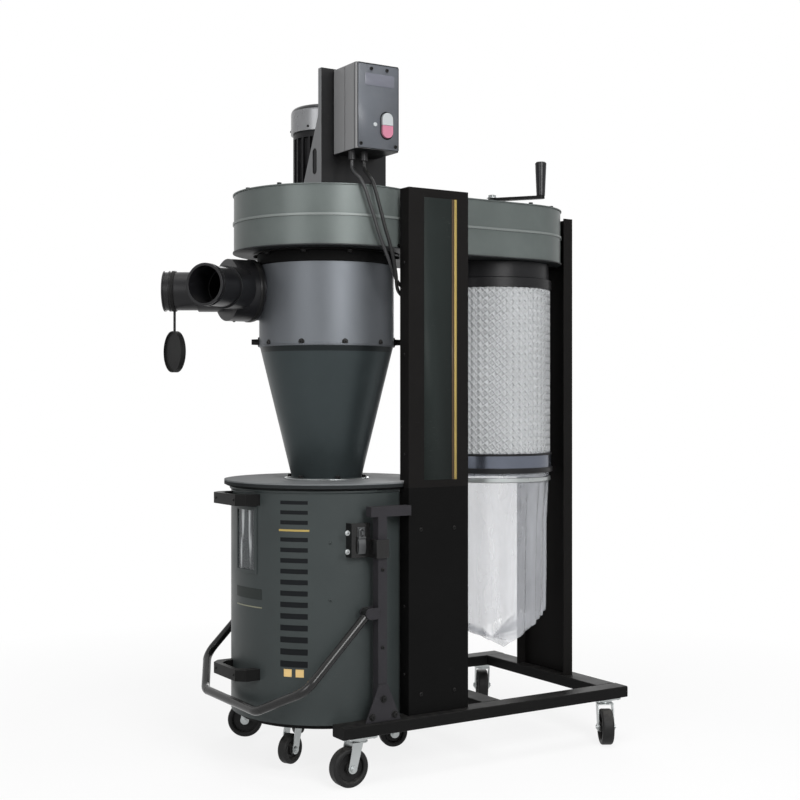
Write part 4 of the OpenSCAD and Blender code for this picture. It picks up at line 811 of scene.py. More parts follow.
class LatticeTool(NodeTool):
    """Expanded metal: diamonds that touch at their corners, bent round an upright axis."""

    name = "expanded_metal"
    sizes = (("Columns", INT, 54), ("Rows", INT, 22),
             ("Radius", FLOAT, 0.164), ("Height", FLOAT, 0.458),
             ("Strand", FLOAT, 0.0045), ("Depth", FLOAT, 0.0012),
             ("Axis", VECTOR, (0, 0, 0)), ("Metal", MATERIAL, None))

    @classmethod
    def wire(cls, plan: Plan, given: bpy.types.bpy_prop_collection, out: bpy.types.Node) -> None:
        """Flat diamonds on a grid, then each point carried round the axis."""
        round_it = plan.math("MULTIPLY", given["Radius"], 2 * math.pi)
        wide = plan.math("DIVIDE", round_it, given["Columns"])
        tall = plan.math("DIVIDE", given["Height"], given["Rows"])
        half = plan.math("MULTIPLY", tall, 0.5)
        cell = plan.node("GeometryNodeCurvePrimitiveQuadrilateral", {"mode": "KITE"}, Width=wide,
                         Bottom_Height=half, Top_Height=half)
        strand = plan.node("GeometryNodeCurvePrimitiveQuadrilateral", {"mode": "RECTANGLE"},
                           Width=given["Strand"], Height=given["Depth"])
        diamond = plan.node("GeometryNodeCurveToMesh", Curve=cell.outputs[0],
                            Profile_Curve=strand.outputs[0])
        grid = plan.node("GeometryNodeMeshGrid", Size_X=plan.math("SUBTRACT", round_it, wide),
                         Size_Y=plan.math("SUBTRACT", given["Height"], tall),
                         Vertices_X=given["Columns"], Vertices_Y=given["Rows"])
        spread = plan.node("GeometryNodeInstanceOnPoints", Points=grid.outputs["Mesh"],
                           Instance=diamond.outputs[0])
        real = plan.node("GeometryNodeRealizeInstances", Geometry=spread.outputs[0])
        flat = plan.node("ShaderNodeSeparateXYZ", Vector=plan.node("GeometryNodeInputPosition").outputs[0])
        turn = plan.math("DIVIDE", flat.outputs["X"], given["Radius"])
        reach = plan.math("ADD", given["Radius"], flat.outputs["Z"])
        bent = plan.node("ShaderNodeCombineXYZ", X=plan.math("MULTIPLY", plan.math("COSINE", turn), reach),
                         Y=plan.math("MULTIPLY", plan.math("SINE", turn), reach), Z=flat.outputs["Y"])
        moved = plan.vector("ADD", bent.outputs[0], given["Axis"])
        curved = plan.node("GeometryNodeSetPosition", Geometry=real.outputs[0], Position=moved.outputs[0])
        plan.feed(out.inputs[0], plan.node("GeometryNodeSetMaterial", Geometry=curved.outputs[0],
                                           Material=given["Metal"]).outputs[0])


@dataclass(frozen=True)
class Fastener:
    """One kind of screw, bolt or rivet, in millimetres."""

    head: float
    height: float
    top: float = 0.85
    sides: int = 14
    washer: float = 0.0
    washer_height: float = 0.0
    socket: float = 0.45
    finish: SolidFinish = Paint.DARK_BOLT

    def fit(self, name: str, body: str, spots: Spots) -> bpy.types.Object:
        """Puts one of these on each spot.

        Args:
            name: name of the piece that holds them all.
            body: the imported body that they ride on.
            spots: place and outward direction of each.

        Returns:
            The piece.
        """
        start = bpy.data.meshes.new(name + "_spots")
        start.from_pydata([tuple(p) for p, _ in spots], [], [])
        ways = start.attributes.new("out", "FLOAT_VECTOR", "POINT")
        for item, (_, way) in zip(ways.data, spots):
            item.vector = tuple(way)
        mesh = FastenerTool.run(
            start, Washer_Radius=max(self.washer, 0.1 * self.head) * MM,
            Washer_Height=max(self.washer_height, 0.05) * MM, Head_Radius=self.head * MM,
            Top_Radius=self.head * self.top * MM, Head_Height=self.height * MM, Head_Sides=self.sides,
            Socket_Radius=self.head * self.socket * MM, Metal=self.finish.material(),
            Dark=Paint.SOCKET_SHADE.material())
        mesh.name = name
        return link_piece(name, mesh, body)


PAN_SCREW = Fastener(5.0, 2.6, 0.8)
SMALL_SCREW = Fastener(3.4, 1.8, 0.8)
SEAM_SCREW = Fastener(5.5, 3.2, 0.8, 14, 8.0, 1.0, 0.4)
HEX_BOLT = Fastener(6.5, 5.0, 0.95, 6, 9.0, 1.5, 0.35)
AXLE_NUT = Fastener(9.0, 2.6, 0.95, 6, 0.0, 0.0, 0.45, Paint.ZINC)
ZINC_SCREW = Fastener(4.6, 2.4, 0.8, 14, 6.5, 1.0, 0.4, Paint.ZINC)
ZINC_BOLT = Fastener(4.0, 2.0, 0.95, 6, 0.0, 0.0, 0.3, Paint.ZINC)
CLAMP_BOLT = Fastener(9.0, 17.0, 0.9, 6, 13.0, 3.0, 0.4)
CRANK_NUT = Fastener(13.0, 7.0, 0.95, 6, 15.0, 1.0, 0.55, Paint.ZINC)
RIVET = Fastener(4.2, 1.4, 0.55, 14, 0.0, 0.0, 0.3, Paint.DRUM)


@dataclass
class Stage:
    """The floor, the light and the camera."""

    camera_at: tuple[float, float, float] = (-1.9047813, -3.093, 0.936)
    camera_turn: float = -32.21
    lens: float = 60.3
    floor_half: float = 30.0
    sky_light: float = 0.24
    shown_share: float = 0.84
    shadow_reach: float = 1.1
    sensor: float = 36.0
    floor_tones: tuple = ((0.86, 0.86, 0.86, 1), (0.90, 0.90, 0.90, 1))
    lamps: tuple = (("key_light", (-0.5, -3.5, 2.3), (-0.1, 0.0, 0.9), 1.6, 105),
                    ("left_light", (-4.3, -1.9, 2.3), (-0.1, 0.0, 1.0), 2.0, 62),
                    ("back_light", (2.6, 3.4, 2.4), (0.0, 0.0, 0.9), 2.0, 60),
                    ("top_light", (-0.3, -0.7, 4.4), (0.0, 0.0, 1.0), 2.0, 60))

    def build(self) -> None:
        """Makes everything that isn't part of the machine."""
        self.camera()
        self.floor()
        self.sky()
        for lamp in self.lamps:
            self.lamp(*lamp)

    def camera(self) -> None:
        """The camera at the photograph's angle."""
        lens = bpy.data.cameras.new("camera")
        lens.lens = self.lens
        lens.sensor_width = self.sensor
        made = bpy.data.objects.new("camera", lens)
        made.location = self.camera_at
        made.rotation_euler = (math.radians(90), 0, math.radians(self.camera_turn))
        bpy.context.scene.collection.objects.link(made)
        bpy.context.scene.camera = made

    @staticmethod
    def seen(plan: Plan) -> Socket:
        """One for rays that show the background: from the camera, off gloss or through film."""
        path = plan.node("ShaderNodeLightPath")
        any_ray = plan.math("MAXIMUM", path.outputs["Is Camera Ray"], path.outputs["Is Glossy Ray"])
        return plan.math("MAXIMUM", any_ray, path.outputs["Is Transmission Ray"])

    def floor(self) -> None:
        """A pale floor that shows white and keeps a soft shadow."""
        h = self.floor_half
        mesh = bpy.data.meshes.new("floor")
        mesh.from_pydata([(-h, -h, 0), (h, -h, 0), (h, h, 0), (-h, h, 0)], [], [(0, 1, 2, 3)])
        made, plan, shader = new_material("floor_pale")
        vector = plan.node("ShaderNodeTexCoord").outputs["Object"]
        plan.feed(shader.inputs["Base Color"], plan.blend(plan.noise(vector, 3.0, 3.0), *self.floor_tones))
        shader.inputs["Roughness"].default_value = 0.9
        shader.inputs["Specular IOR Level"].default_value = 0.0
        glow = plan.node("ShaderNodeEmission", Strength=1.0)
        away = plan.vector("LENGTH", vector).outputs["Value"]
        fade = plan.span(away, self.shadow_reach, 2 * self.shadow_reach, self.shown_share, 1.0)
        share = plan.math("MULTIPLY", self.seen(plan), fade)
        both = plan.node("ShaderNodeMixShader", Fac=share)
        plan.feed(both.inputs[1], shader.outputs[0])
        plan.feed(both.inputs[2], glow.outputs[0])
        end = next(n for n in made.node_tree.nodes if n.type == "OUTPUT_MATERIAL")
        plan.feed(end.inputs["Surface"], both.outputs[0])
        mesh.materials.append(made)
        floor = bpy.data.objects.new("floor", mesh)
        bpy.context.scene.collection.objects.link(floor)

    def sky(self) -> None:
        """A white background that lights the machine softly."""
        world = bpy.data.worlds.new("studio")
        world.use_nodes = True
        world.node_tree.nodes.clear()
        plan = Plan(world.node_tree)
        extra = plan.math("MULTIPLY", self.seen(plan), 1.0 - self.sky_light)
        strength = plan.math("ADD", extra, self.sky_light)
        back = plan.node("ShaderNodeBackground", Color=(1, 1, 1, 1), Strength=strength)
        plan.node("ShaderNodeOutputWorld", Surface=back.outputs[0])
        bpy.context.scene.world = world

    @staticmethod
    def lamp(name: str, at: tuple, aim: tuple, size: float, power: float) -> None:
        """A square soft lamp.

        Args:
            name: name of the lamp.
            at: its place.
            aim: the point that it faces.
            size: its side.
            power: its power.
        """
        light = bpy.data.lights.new(name, "AREA")
        light.size = size
        light.energy = power
        made = bpy.data.objects.new(name, light)
        made.location = at
        made.rotation_euler = (Vector(aim) - Vector(at)).to_track_quat("-Z", "Y").to_euler()
        bpy.context.scene.collection.objects.link(made)


@dataclass
class Cables:
    """The two cables from the switch box to the near column."""

    radius: float = 4.5
    motor_route: tuple = (
        (78, -215, 1532), (78, -217, 1512), (79, -232, 1496), (82, -250, 1481), (92, -258, 1454),
        (103, -260, 1420), (114, -261, 1390), (126, -261, 1355), (140, -259, 1325), (156, -256, 1295),
        (172, -250, 1268), (188, -240, 1246), (206, -233, 1228), (226, -236, 1214), (240, -250, 1204),
        (246, -266, 1196))
    power_route: tuple = (
        (112, -215, 1532), (112, -218, 1512), (112, -236, 1496), (113, -254, 1479), (118, -263, 1452),
        (124, -267, 1424), (132, -269, 1394), (142, -270, 1360), (154, -270, 1326), (166, -267, 1290),
        (180, -258, 1250), (190, -245, 1228), (201, -235, 1211), (215, -233, 1198), (232, -238, 1185),
        (252, -250, 1174), (262, -266, 1166))

    def build(self) -> None:
        """Makes both cables."""
        self.run("motor_lead", "motor_cable", "cable_grey", self.motor_route, Paint.SHEATH)
        self.run("power_lead", "power_cable", "cable_black", self.power_route, Paint.SHEATH_BLACK)

    @staticmethod
    def smooth(route: Sequence[tuple], steps: int = 4) -> list[Vector]:
        """Points along a smooth line through a route.

        Args:
            route: the points that the line passes.
            steps: points per stretch.

        Returns:
            The line's points in metres.
        """
        stops = [place(*p) for p in route]
        line = []
        for i in range(len(stops) - 1):
            a, b = stops[max(i - 1, 0)], stops[i]
            c, d = stops[i + 1], stops[min(i + 2, len(stops) - 1)]
            for k in range(steps):
                t = k / steps
                line.append(0.5 * ((2 * b) + (c - a) * t + (2 * a - 5 * b + 4 * c - d) * t * t
                                   + (3 * b - a - 3 * c + d) * t ** 3))
        return line + [stops[-1]]

    def run(self, name: str, node: str, slot: str, route: Sequence[tuple], finish: SolidFinish) -> None:
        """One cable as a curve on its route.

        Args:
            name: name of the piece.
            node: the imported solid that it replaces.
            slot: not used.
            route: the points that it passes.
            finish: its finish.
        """
        line = self.smooth(route)
        curve = bpy.data.curves.new(name, "CURVE")
        curve.dimensions = "3D"
        curve.bevel_depth = self.radius * MM
        curve.bevel_resolution = 3
        curve.use_fill_caps = True
        spline = curve.splines.new("POLY")
        spline.points.add(len(line) - 1)
        for point, at in zip(spline.points, line):
            point.co = (*at, 1.0)
        spline.use_smooth = True
        curve.materials.append(finish.material())
        piece = bpy.data.objects.new(name, curve)
        bpy.context.scene.collection.objects.link(piece)
        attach(piece, "frame")
        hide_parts(node)


@dataclass
class BaseFrame:
    """The castered base, the columns, the lift posts and the end post."""

    col_x: float = 201.0
    col_y: float = 285.0
    col_d: float = 41.0
    stripe_x: float = 342.0
    stripe_w: float = 8.0
    stripe_z: tuple[float, float] = (735.0, 1445.0)
    badge_x: float = 288.5
    badge_w: float = 85.0
    print_high: float = 0.25
    post_x: float = 118.0
    post_y: float = 283.5
    post_w: float = 25.0
    foot_thick: float = 4.0
    end_face_x: float = 868.0
    end_bolt_y: tuple = (-70, 70)
    end_bolt_z: tuple = (190, 760, 1390)
    cover_screw_x: tuple = (237, 338)
    cover_screw_z: tuple = (612, 200)
    side_screw_z: tuple = (250, 420, 800, 1050, 1280)
    post_screw_z: tuple = (520, 330)
    foot_bolts: tuple = ((-32, 164), (32, 164), (0, 205))

    def build(self) -> None:
        """Dresses the frame's nodes and adds its prints and screws."""
        dress(Paint.FRAME, "side_rails", "cross_rails")
        dress(Paint.COLUMN, "columns", "end_post", "housing_brackets")
        dress(Paint.COVER, "column_covers")
        dress(Paint.POST, "lift_posts")
        self.prints(Side.NEAR)
        for side in Side:
            self.screws(side)
        HEX_BOLT.fit("end_post_bolts", "frame", [
            (place(self.end_face_x, y, z), Vector((1, 0, 0)))
            for y in self.end_bolt_y for z in self.end_bolt_z])

    def prints(self, side: Side) -> None:
        """The plain band and the stripe on the face of a column."""
        z0, z1 = self.stripe_z
        face_y, stripe_w = self.col_y + PRINT_GAP, self.stripe_w
        for name, x, w, finish in (("stripe", self.stripe_x, stripe_w, Paint.YELLOW),
                                   ("stripe_edge", self.stripe_x - stripe_w, stripe_w, Paint.BRONZE),
                                   ("badge", self.badge_x, self.badge_w, Paint.BADGE)):
            outline = [(x + u, (z0 + z1) / 2 + v) for u, v in rounded(w - 0.4, z1 - z0, 1.0)]
            shape = plate(name, outline, self.print_high, finish,
                          lambda u, v, out: place(u, side.value * (face_y + out), v))
            link_piece(f"{side.name.lower()}_column_{name}", shape, "frame")

    def screws(self, side: Side) -> None:
        """The screws of a column's cover and a lift post's foot."""
        s = side.value
        out, left, label = Vector((0, s, 0)), Vector((-1, 0, 0)), side.name.lower()
        face_y = s * self.col_y
        spots = [(place(x, face_y, z), out) for x in self.cover_screw_x for z in self.cover_screw_z]
        PAN_SCREW.fit(label + "_cover_screws", "frame", spots)
        mid_y = s * (self.col_y - self.col_d / 2)
        spots = [(place(self.col_x, mid_y, z), left) for z in self.side_screw_z]
        SMALL_SCREW.fit(label + "_column_side_screws", "frame", spots)
        post_face = s * (self.post_y + self.post_w / 2)
        spots = [(place(self.post_x, post_face, z), out) for z in self.post_screw_z]
        PAN_SCREW.fit(label + "_post_screws", "frame", spots)
        foot_face = s * (self.post_y + self.post_w / 2 + self.foot_thick)
        spots = [(place(self.post_x + x, foot_face, z), out) for x, z in self.foot_bolts]
        HEX_BOLT.fit(label + "_foot_bolts", "frame", spots)


@dataclass
class Casters:
    """The wheels and forks under the base and under the drum."""

    base_stems: tuple = (("near_front", 57, -283.5, 180), ("far_front", 57, 283.5, 148),
                         ("near_rear", 836, -283.5, 240), ("far_rear", 836, 283.5, 60))
    drum_stems: tuple = (("a", 90, 75), ("b", 210, 205), ("c", 330, 345))
    drum_x: float = 126.0
    stem_ring: float = 150.0
    rail_z: float = 120.0
    dolly_z: float = 125.0
    plate_thick: float = 4.0
    bolt_x: float = 33.0
    bolt_y: float = 19.0
    nut_sink: float = 4.8
    base_axle: tuple[float, float, float] = (28.0, 48.0, 27.0)
    drum_axle: tuple[float, float, float] = (26.0, 57.5, 24.0)

    def build(self) -> None:
        """Dresses the casters and adds their nuts and bolts."""
        dress(Paint.ZINC, "base_caster_plates", "drum_caster_plates")
        spots = []
        for label, x, y, turn in self.base_stems:
            dress(Paint.ZINC, label + "_fork")
            dress(Paint.TYRE, label + "_wheel")
            self.axle(label + "_caster", x, y, turn, *self.base_axle)
            spots += self.plate_bolts(x, y, self.rail_z)
        ZINC_BOLT.fit("base_plate_bolts", "frame", spots)
        spots = []
        for label, way, turn in self.drum_stems:
            x = self.drum_x + self.stem_ring * math.cos(math.radians(way))
            y = self.stem_ring * math.sin(math.radians(way))
            dress(Paint.ZINC, "drum_fork_" + label)
            dress(Paint.TYRE, "drum_wheel_" + label)
            self.axle("drum_caster_" + label, x, y, turn, *self.drum_axle)
            spots += self.plate_bolts(x, y, self.dolly_z)
        ZINC_BOLT.fit("drum_plate_bolts", "drum", spots)

    def plate_bolts(self, x: float, y: float, z: float) -> Spots:
        """The spots of the four bolts of a caster's plate that hangs at a height."""
        return [(place(x + u, y + v, z - self.plate_thick), DOWN)
                for u in (-self.bolt_x, self.bolt_x) for v in (-self.bolt_y, self.bolt_y)]

    def axle(self, body: str, x: float, y: float, turn: float, trail: float, z: float, half: float) -> None:
        """The two nuts on a caster's axle.

        Args:
            body: the fork's body.
            x: distance of the swivel axis from the drum end.
            y: distance of the swivel axis from the centre line.
            turn: direction of the wheel from the swivel axis.
            trail: distance of the axle from the swivel axis.
            z: height of the axle.
            half: distance of the axle's ends from the wheel's middle.
        """
        way, across = outward(turn), outward(turn + 90)
        spots = []
        for sign in (-1, 1):
            at = place(x, y, z) + way * trail * MM + across * sign * (half - self.nut_sink) * MM
            spots.append((at, across * sign))
        AXLE_NUT.fit(body + "_nuts", body, spots)


@dataclass
class DrumSet:
    """The drum with its window, handles, latches and print."""

    axis_x: float = 126.0
    radius: float = 250.0
    foot_z: float = 137.0
    print_way: float = 222.0
    print_w: float = 72.0
    print_high: float = 0.3
    bar_count: int = 15
    bar_top: float = 688.0
    bar_tall: float = 9.0
    bar_growth: float = 0.45
    bar_gap: float = 15.0
    line_after: int = 3
    line_gap: float = 17.0
    line_over: float = 8.0
    dash_shift: float = 3.6
    dash_w: float = 21.0
    side_way: float = 188.0
    side_w: float = 112.0
    side_line_z: tuple[float, float] = (417.0, 420.0)
    label_z: tuple[float, float] = (438.0, 465.0)
    rivet_ways: tuple = (243, 117)
    rivet_z: tuple = (585, 444)
    latch_at: tuple[float, float] = (36.0, 265.5)
    latch_z: tuple = (566, 612)
    handle_x: float = -169.0
    handle_y: float = 52.0
    handle_up: tuple = (550, 115)

    def build(self) -> None:
        """Dresses the drum's nodes and adds its print, rivets and screws."""
        dress(Paint.DRUM, "drum_wall", "window_frame")
        dress(Paint.FRAME, "drum_base")
        dress(Paint.HANDLE, "drum_handles")
        dress(Paint.PANE, "window_pane")
        dress(Paint.LEVER, "guide_jaws", "lift_lever")
        dress(Paint.LATCH, "toggle_latches")
        self.bars()
        self.fittings()

    def patch(self, name: str, way: float, width: float, z0: float, z1: float, finish: SolidFinish) -> None:
        """A printed patch that follows the drum's wall.

        Args:
            name: name of the piece.
            way: direction of its middle from the drum's axis.
            width: its width along the wall.
            z0: height of its lower edge.
            z1: height of its upper edge.
            finish: its finish.
        """
        steps = max(2, int(width / 6))
        half = math.degrees(width / 2 / self.radius)
        points = []
        for r in (self.radius + PRINT_GAP, self.radius + self.print_high):
            for i in range(steps + 1):
                turn = way - half + 2 * half * i / steps
                points += [about(self.axis_x, r, turn, z0), about(self.axis_x, r, turn, z1)]
        back = 2 * (steps + 1)
        faces = []
        for i in range(steps):
            a = 2 * i
            faces += [(a, a + 2, a + 3, a + 1), (back + a, back + a + 1, back + a + 3, back + a + 2),
                      (a, back + a, back + a + 2, a + 2), (a + 1, a + 3, back + a + 3, back + a + 1)]
        last = 2 * steps
        faces += [(0, 1, back + 1, back), (last, back + last, back + last + 1, last + 1)]
        link_piece(name, mesh_of(name, points, faces, finish), "drum")

    def bars(self) -> None:
        """A ladder of bars that grow towards the foot, thin lines, two dashes and a bare label, all plain."""
        top = self.bar_top
        for i in range(self.bar_count):
            tall = self.bar_tall + self.bar_growth * i
            self.patch(f"drum_bar_{i + 1}", self.print_way, self.print_w, top - tall, top, Paint.BARS)
            top -= tall + self.bar_gap
            if i + 1 == self.line_after:
                self.patch("drum_gold_line", self.print_way, self.print_w + self.line_over,
                           top - 2, top + 3, Paint.YELLOW)
                top -= self.line_gap
        for i, shift in enumerate((-self.dash_shift, self.dash_shift)):
            self.patch(f"drum_dash_{i + 1}", self.print_way + shift, self.dash_w,
                       top - 9, top + 10, Paint.ORANGE)
        self.patch("drum_side_line", self.side_way, self.side_w, *self.side_line_z, Paint.PALE)
        self.patch("drum_bare_label", self.side_way, self.side_w, *self.label_z, Paint.LABEL)

    def fittings(self) -> None:
        """Rivets on the wall, and the screws of the handles and latches."""
        spots = [(about(self.axis_x, self.radius, way, z), outward(way))
                 for way in self.rivet_ways for z in self.rivet_z]
        RIVET.fit("drum_rivets", "drum", spots)
        latch_x, latch_y = self.latch_at
        ZINC_SCREW.fit("latch_screws", "drum", [
            (place(latch_x, s * latch_y, z), Vector((0, s, 0))) for s in (-1, 1) for z in self.latch_z])
        SMALL_SCREW.fit("handle_screws", "drum", [
            (place(self.handle_x, y, self.foot_z + up), Vector((-1, 0, 0)))
            for up in self.handle_up for y in (-self.handle_y, self.handle_y)])


@dataclass
class Cyclone:
    """The drum's lid, the cone, the barrel and the inlet duct."""

    axis_x: float = 126.0
    barrel_r: float = 177.0
    seam_z: float = 1074.0
    cellar_z: float = 1318.0
    lid_top: float = 730.5
    cone_foot_r: float = 106.0
    foot_bolt_r: float = 99.5
    flange_out: float = 9.5
    flange_thick: float = 4.0
    seam_ways: range = range(4, 364, 36)
    clamp_ways: tuple = (152, 332)
    flange_ways: range = range(7, 367, 36)
    foot_ways: range = range(18, 378, 60)

    def build(self) -> None:
        """Dresses the cyclone and adds its bolts and rings."""
        dress(Paint.LID, "drum_lid")
        dress(Paint.SEAL, "lid_seal")
        dress(Paint.SLATE, "cone")
        dress(Paint.BARREL, "barrel", "inlet_duct")
        x, r, z, top = self.axis_x, self.barrel_r, self.seam_z, self.cellar_z
        SEAM_SCREW.fit("seam_screws", "frame", circle_spots(x, r, self.seam_ways, z + 9))
        CLAMP_BOLT.fit("seam_bolts", "frame", circle_spots(x, r, self.clamp_ways, z + 14))
        # A black collar round the barrel's top: partly the flange there, partly painted shade under the
        # housing.
        ring("barrel_collar", [(r + 0.15, top - 32), (r + 3.5, top - 32), (r + 5, top - 30),
                               (r + 5, top - 4.2), (r + 0.15, top - 4.2)], x, Paint.COVER)
        HEX_BOLT.fit("flange_bolts", "frame", circle_spots(
            x, r + self.flange_out, self.flange_ways, top - self.flange_thick, DOWN))
        HEX_BOLT.fit("cone_foot_bolts", "frame", circle_spots(
            x, self.foot_bolt_r, self.foot_ways, self.lid_top + self.flange_thick, UP))
        foot, low = self.cone_foot_r, self.lid_top
        ring("cone_gasket", [(foot + 0.3, low + 0.1), (foot + 5, low + 0.1), (foot + 5, low + 2.2),
                             (foot + 0.3, low + 3.0)], x, Paint.ZINC)
        ring("seam_bead", [(r + 0.1, z + 1), (r + 1.6, z + 1.5), (r + 1.6, z + 4), (r + 0.1, z + 5)],
             x, Paint.BARREL)


@dataclass
class Inlet:
    """The wye with its two hose ports and the hanging cap."""

    inlet_y: float = 72.0
    inlet_z: float = 1220.0
    socket_r: float = 80.4
    clamp_x: float = -60.0
    clamp_w: float = 10.0
    clamp_steps: int = 72
    screw_x: float = -108.0
    screw_ways: tuple = (-70, 70, 180)

    def build(self) -> None:
        """Dresses the wye and adds its clamp and screws."""
        dress(Paint.PLASTIC, "inlet_wye", "near_port", "far_port")
        dress(Paint.CAP, "port_cap")
        self.clamp()
        SMALL_SCREW.fit("wye_screws", "frame", [
            (self.round_socket(self.screw_x, self.socket_r, a), Vector((0, math.sin(a), math.cos(a))))
            for a in (math.radians(way) for way in self.screw_ways)])

    def round_socket(self, x: float, r: float, a: float) -> Vector:
        """A point at a distance, a radius and an angle from the top about the wye's level axis."""
        return place(x, self.inlet_y + r * math.sin(a), self.inlet_z + r * math.cos(a))

    def clamp(self) -> None:
        """A dark band clamp round the wye's socket."""
        w = self.clamp_w
        profile = ((0, 0.1), (w, 0.1), (w, 1.0), (w - 1, 1.5), (1, 1.5), (0, 1.0))
        points = [self.round_socket(self.clamp_x - x, self.socket_r + r, 2 * math.pi * i / self.clamp_steps)
                  for i in range(self.clamp_steps) for x, r in profile]
        faces = loop_faces(self.clamp_steps, len(profile))
        mesh = mesh_of("wye_clamp", points, faces, Paint.DARK_BOLT)
        link_piece("wye_clamp", mesh, "frame")


@dataclass
class FanBox:
    """The fan housing between the cyclone and the filter."""

    axis_x: float = 126.0
    filter_x: float = 664.0
    fan_r: float = 243.0
    plenum_r: float = 194.0
    roof_z: float = 1470.0
    bolt_in: float = 14.0
    fan_ways: range = range(60, 301, 30)
    plenum_ways: range = range(-90, 91, 30)
    side_bolts: tuple = (330, 430, 530)

    def build(self) -> None:
        """Dresses the housing and adds the bolts of its roof."""
        dress(Paint.HOUSING, "fan_housing", "housing_top")
        dress(Paint.HOUSING_UNDER_SHADE, "housing_bottom")
        fan, plenum, z = self.fan_r - self.bolt_in, self.plenum_r - self.bolt_in, self.roof_z
        spots = circle_spots(self.axis_x, fan, self.fan_ways, z, UP)
        spots += circle_spots(self.filter_x, plenum, self.plenum_ways, z, UP)
        spots += [(place(x, s * plenum, z), UP) for x in self.side_bolts for s in (-1, 1)]
        HEX_BOLT.fit("roof_bolts", "frame", spots)


@dataclass
class MotorSet:
    """The motor, the switch bracket and the switch box."""

    axis_x: float = 126.0
    roof_z: float = 1470.0
    stand_y: float = 143.0
    box_front: float = 262.0
    box_z: float = 1554.0
    box_w: float = 123.0
    box_h: float = 212.0
    button_x: float = 24.0
    button_up: float = 62.0
    box_middle: float = 202.5
    groove: float = 2.0
    joint: float = 2.0
    joint_back: float = 12.0
    gasket_w: float = 2.8
    cowl_r: float = 94.0
    cowl_screw_z: float = 1642.0
    cowl_screw_ways: tuple = (30, 150, 210, 270, 330)
    stand_bolt_x: tuple = (-60, 60)
    stand_bolt_z: tuple = (110, 270)
    stand_thick: float = 3.0

    def build(self) -> None:
        """Dresses the motor and the switch box and adds their screws and panel."""
        dress(Paint.MOTOR, "motor_body")
        dress(Paint.COWL, "motor_fan_cover")
        dress(Paint.STAND, "motor_bracket")
        dress(Paint.BOX, "switch_box")
        dress(Paint.WHITE, "start_button")
        dress(Paint.RED, "stop_button")
        w, h = self.box_w, self.box_h
        for name, across, up, outline, thick, finish in (
                ("switch_cover", 0, h / 2, rounded(w - 5, h - 5, 3), 0.4, Paint.FRONT),
                ("switch_panel", 4, 172, rounded(84, 30, 3), 0.8, Paint.PANEL),
                ("button_shroud", self.button_x, self.button_up, rounded(38, 70, 19), 0.8, Paint.BARS)):
            self.lay(name, across, up, outline, thick, finish, self.face)
        self.seams()
        PAN_SCREW.fit("switch_box_screws", "frame", [
            (place(self.axis_x + x, -self.box_front, self.box_z + z), Vector((0, -1, 0)))
            for x, z in ((-20, h - 13), (25, h - 13), (-50, 12), (50, 12))])
        SMALL_SCREW.fit("fan_cover_screws", "frame", circle_spots(
            self.axis_x, self.cowl_r, self.cowl_screw_ways, self.cowl_screw_z))
        HEX_BOLT.fit("stand_bolts", "frame", [
            (place(self.axis_x + x, -self.stand_y + self.stand_thick, self.roof_z + z), Vector((0, 1, 0)))
            for x in self.stand_bolt_x for z in self.stand_bolt_z])

    def face(self, x: float, z: float, out: float) -> Vector:
        """A place on the front of the box."""
        return place(self.axis_x + x, -self.box_front - PRINT_GAP - out, self.box_z + z)

    def flank(self, sign: int, sunk: float) -> Put:
        """Gives places on a side of the box.

        Args:
            sign: -1 for the left side, 1 for the right side.
            sunk: how deep the places lie in the side.

        Returns:
            A function of the depth, the height and the distance outwards.
        """
        side = self.box_w / 2 - sunk + PRINT_GAP
        return lambda y, z, out: place(self.axis_x + sign * (side + out), -y, self.box_z + z)

    @staticmethod
    def lay(name: str, across: float, up: float, outline: Sequence[tuple[float, float]], thick: float,
            finish: Finish, put: Put) -> None:
        """A thin plate on the switch box.

        Args:
            name: name of the piece.
            across: place of its middle across the face.
            up: height of its middle above the foot of the box.
            outline: its corners about its middle.
            thick: its thickness.
            finish: its finish.
            put: gives the place of a point on the face.
        """
        shape = plate(name, [(across + u, up + v) for u, v in outline], thick, finish, put)
        link_piece(name, shape, "frame")

    def seams(self) -> None:
        """Dark joints round the cover of the switch box, and dark strips in the grooves of its sides that
        paint the grooves' shade.
        """
        w, h, t = self.box_w, self.box_h, self.joint
        for name, across, up, wide, tall in (
                ("top", 0, h - t, w - 8, t), ("foot", 0, t, w - 8, t),
                ("left", t - w / 2 + 1, h / 2, t, h - 6), ("right", w / 2 - t - 1, h / 2, t, h - 6)):
            self.lay("box_joint_" + name, across, up, rounded(wide, tall, 0.4, 2), 0.6, Paint.BARS, self.face)
        for name, sign in (("left", -1), ("right", 1)):
            self.lay("box_flank_joint_" + name, self.box_front - self.joint_back, h / 2,
                     rounded(t, h - 1, 0.4, 2), 0.2, Paint.BARS, self.flank(sign, 0.0))
            # Dark strips in the side grooves: painted shade in the grooves.
            self.lay("box_gasket_" + name, self.box_middle, h / 2,
                     rounded(self.gasket_w, h - 2 * self.groove, 0.4, 2), 1.2, Paint.BARS,
                     self.flank(sign, self.groove))


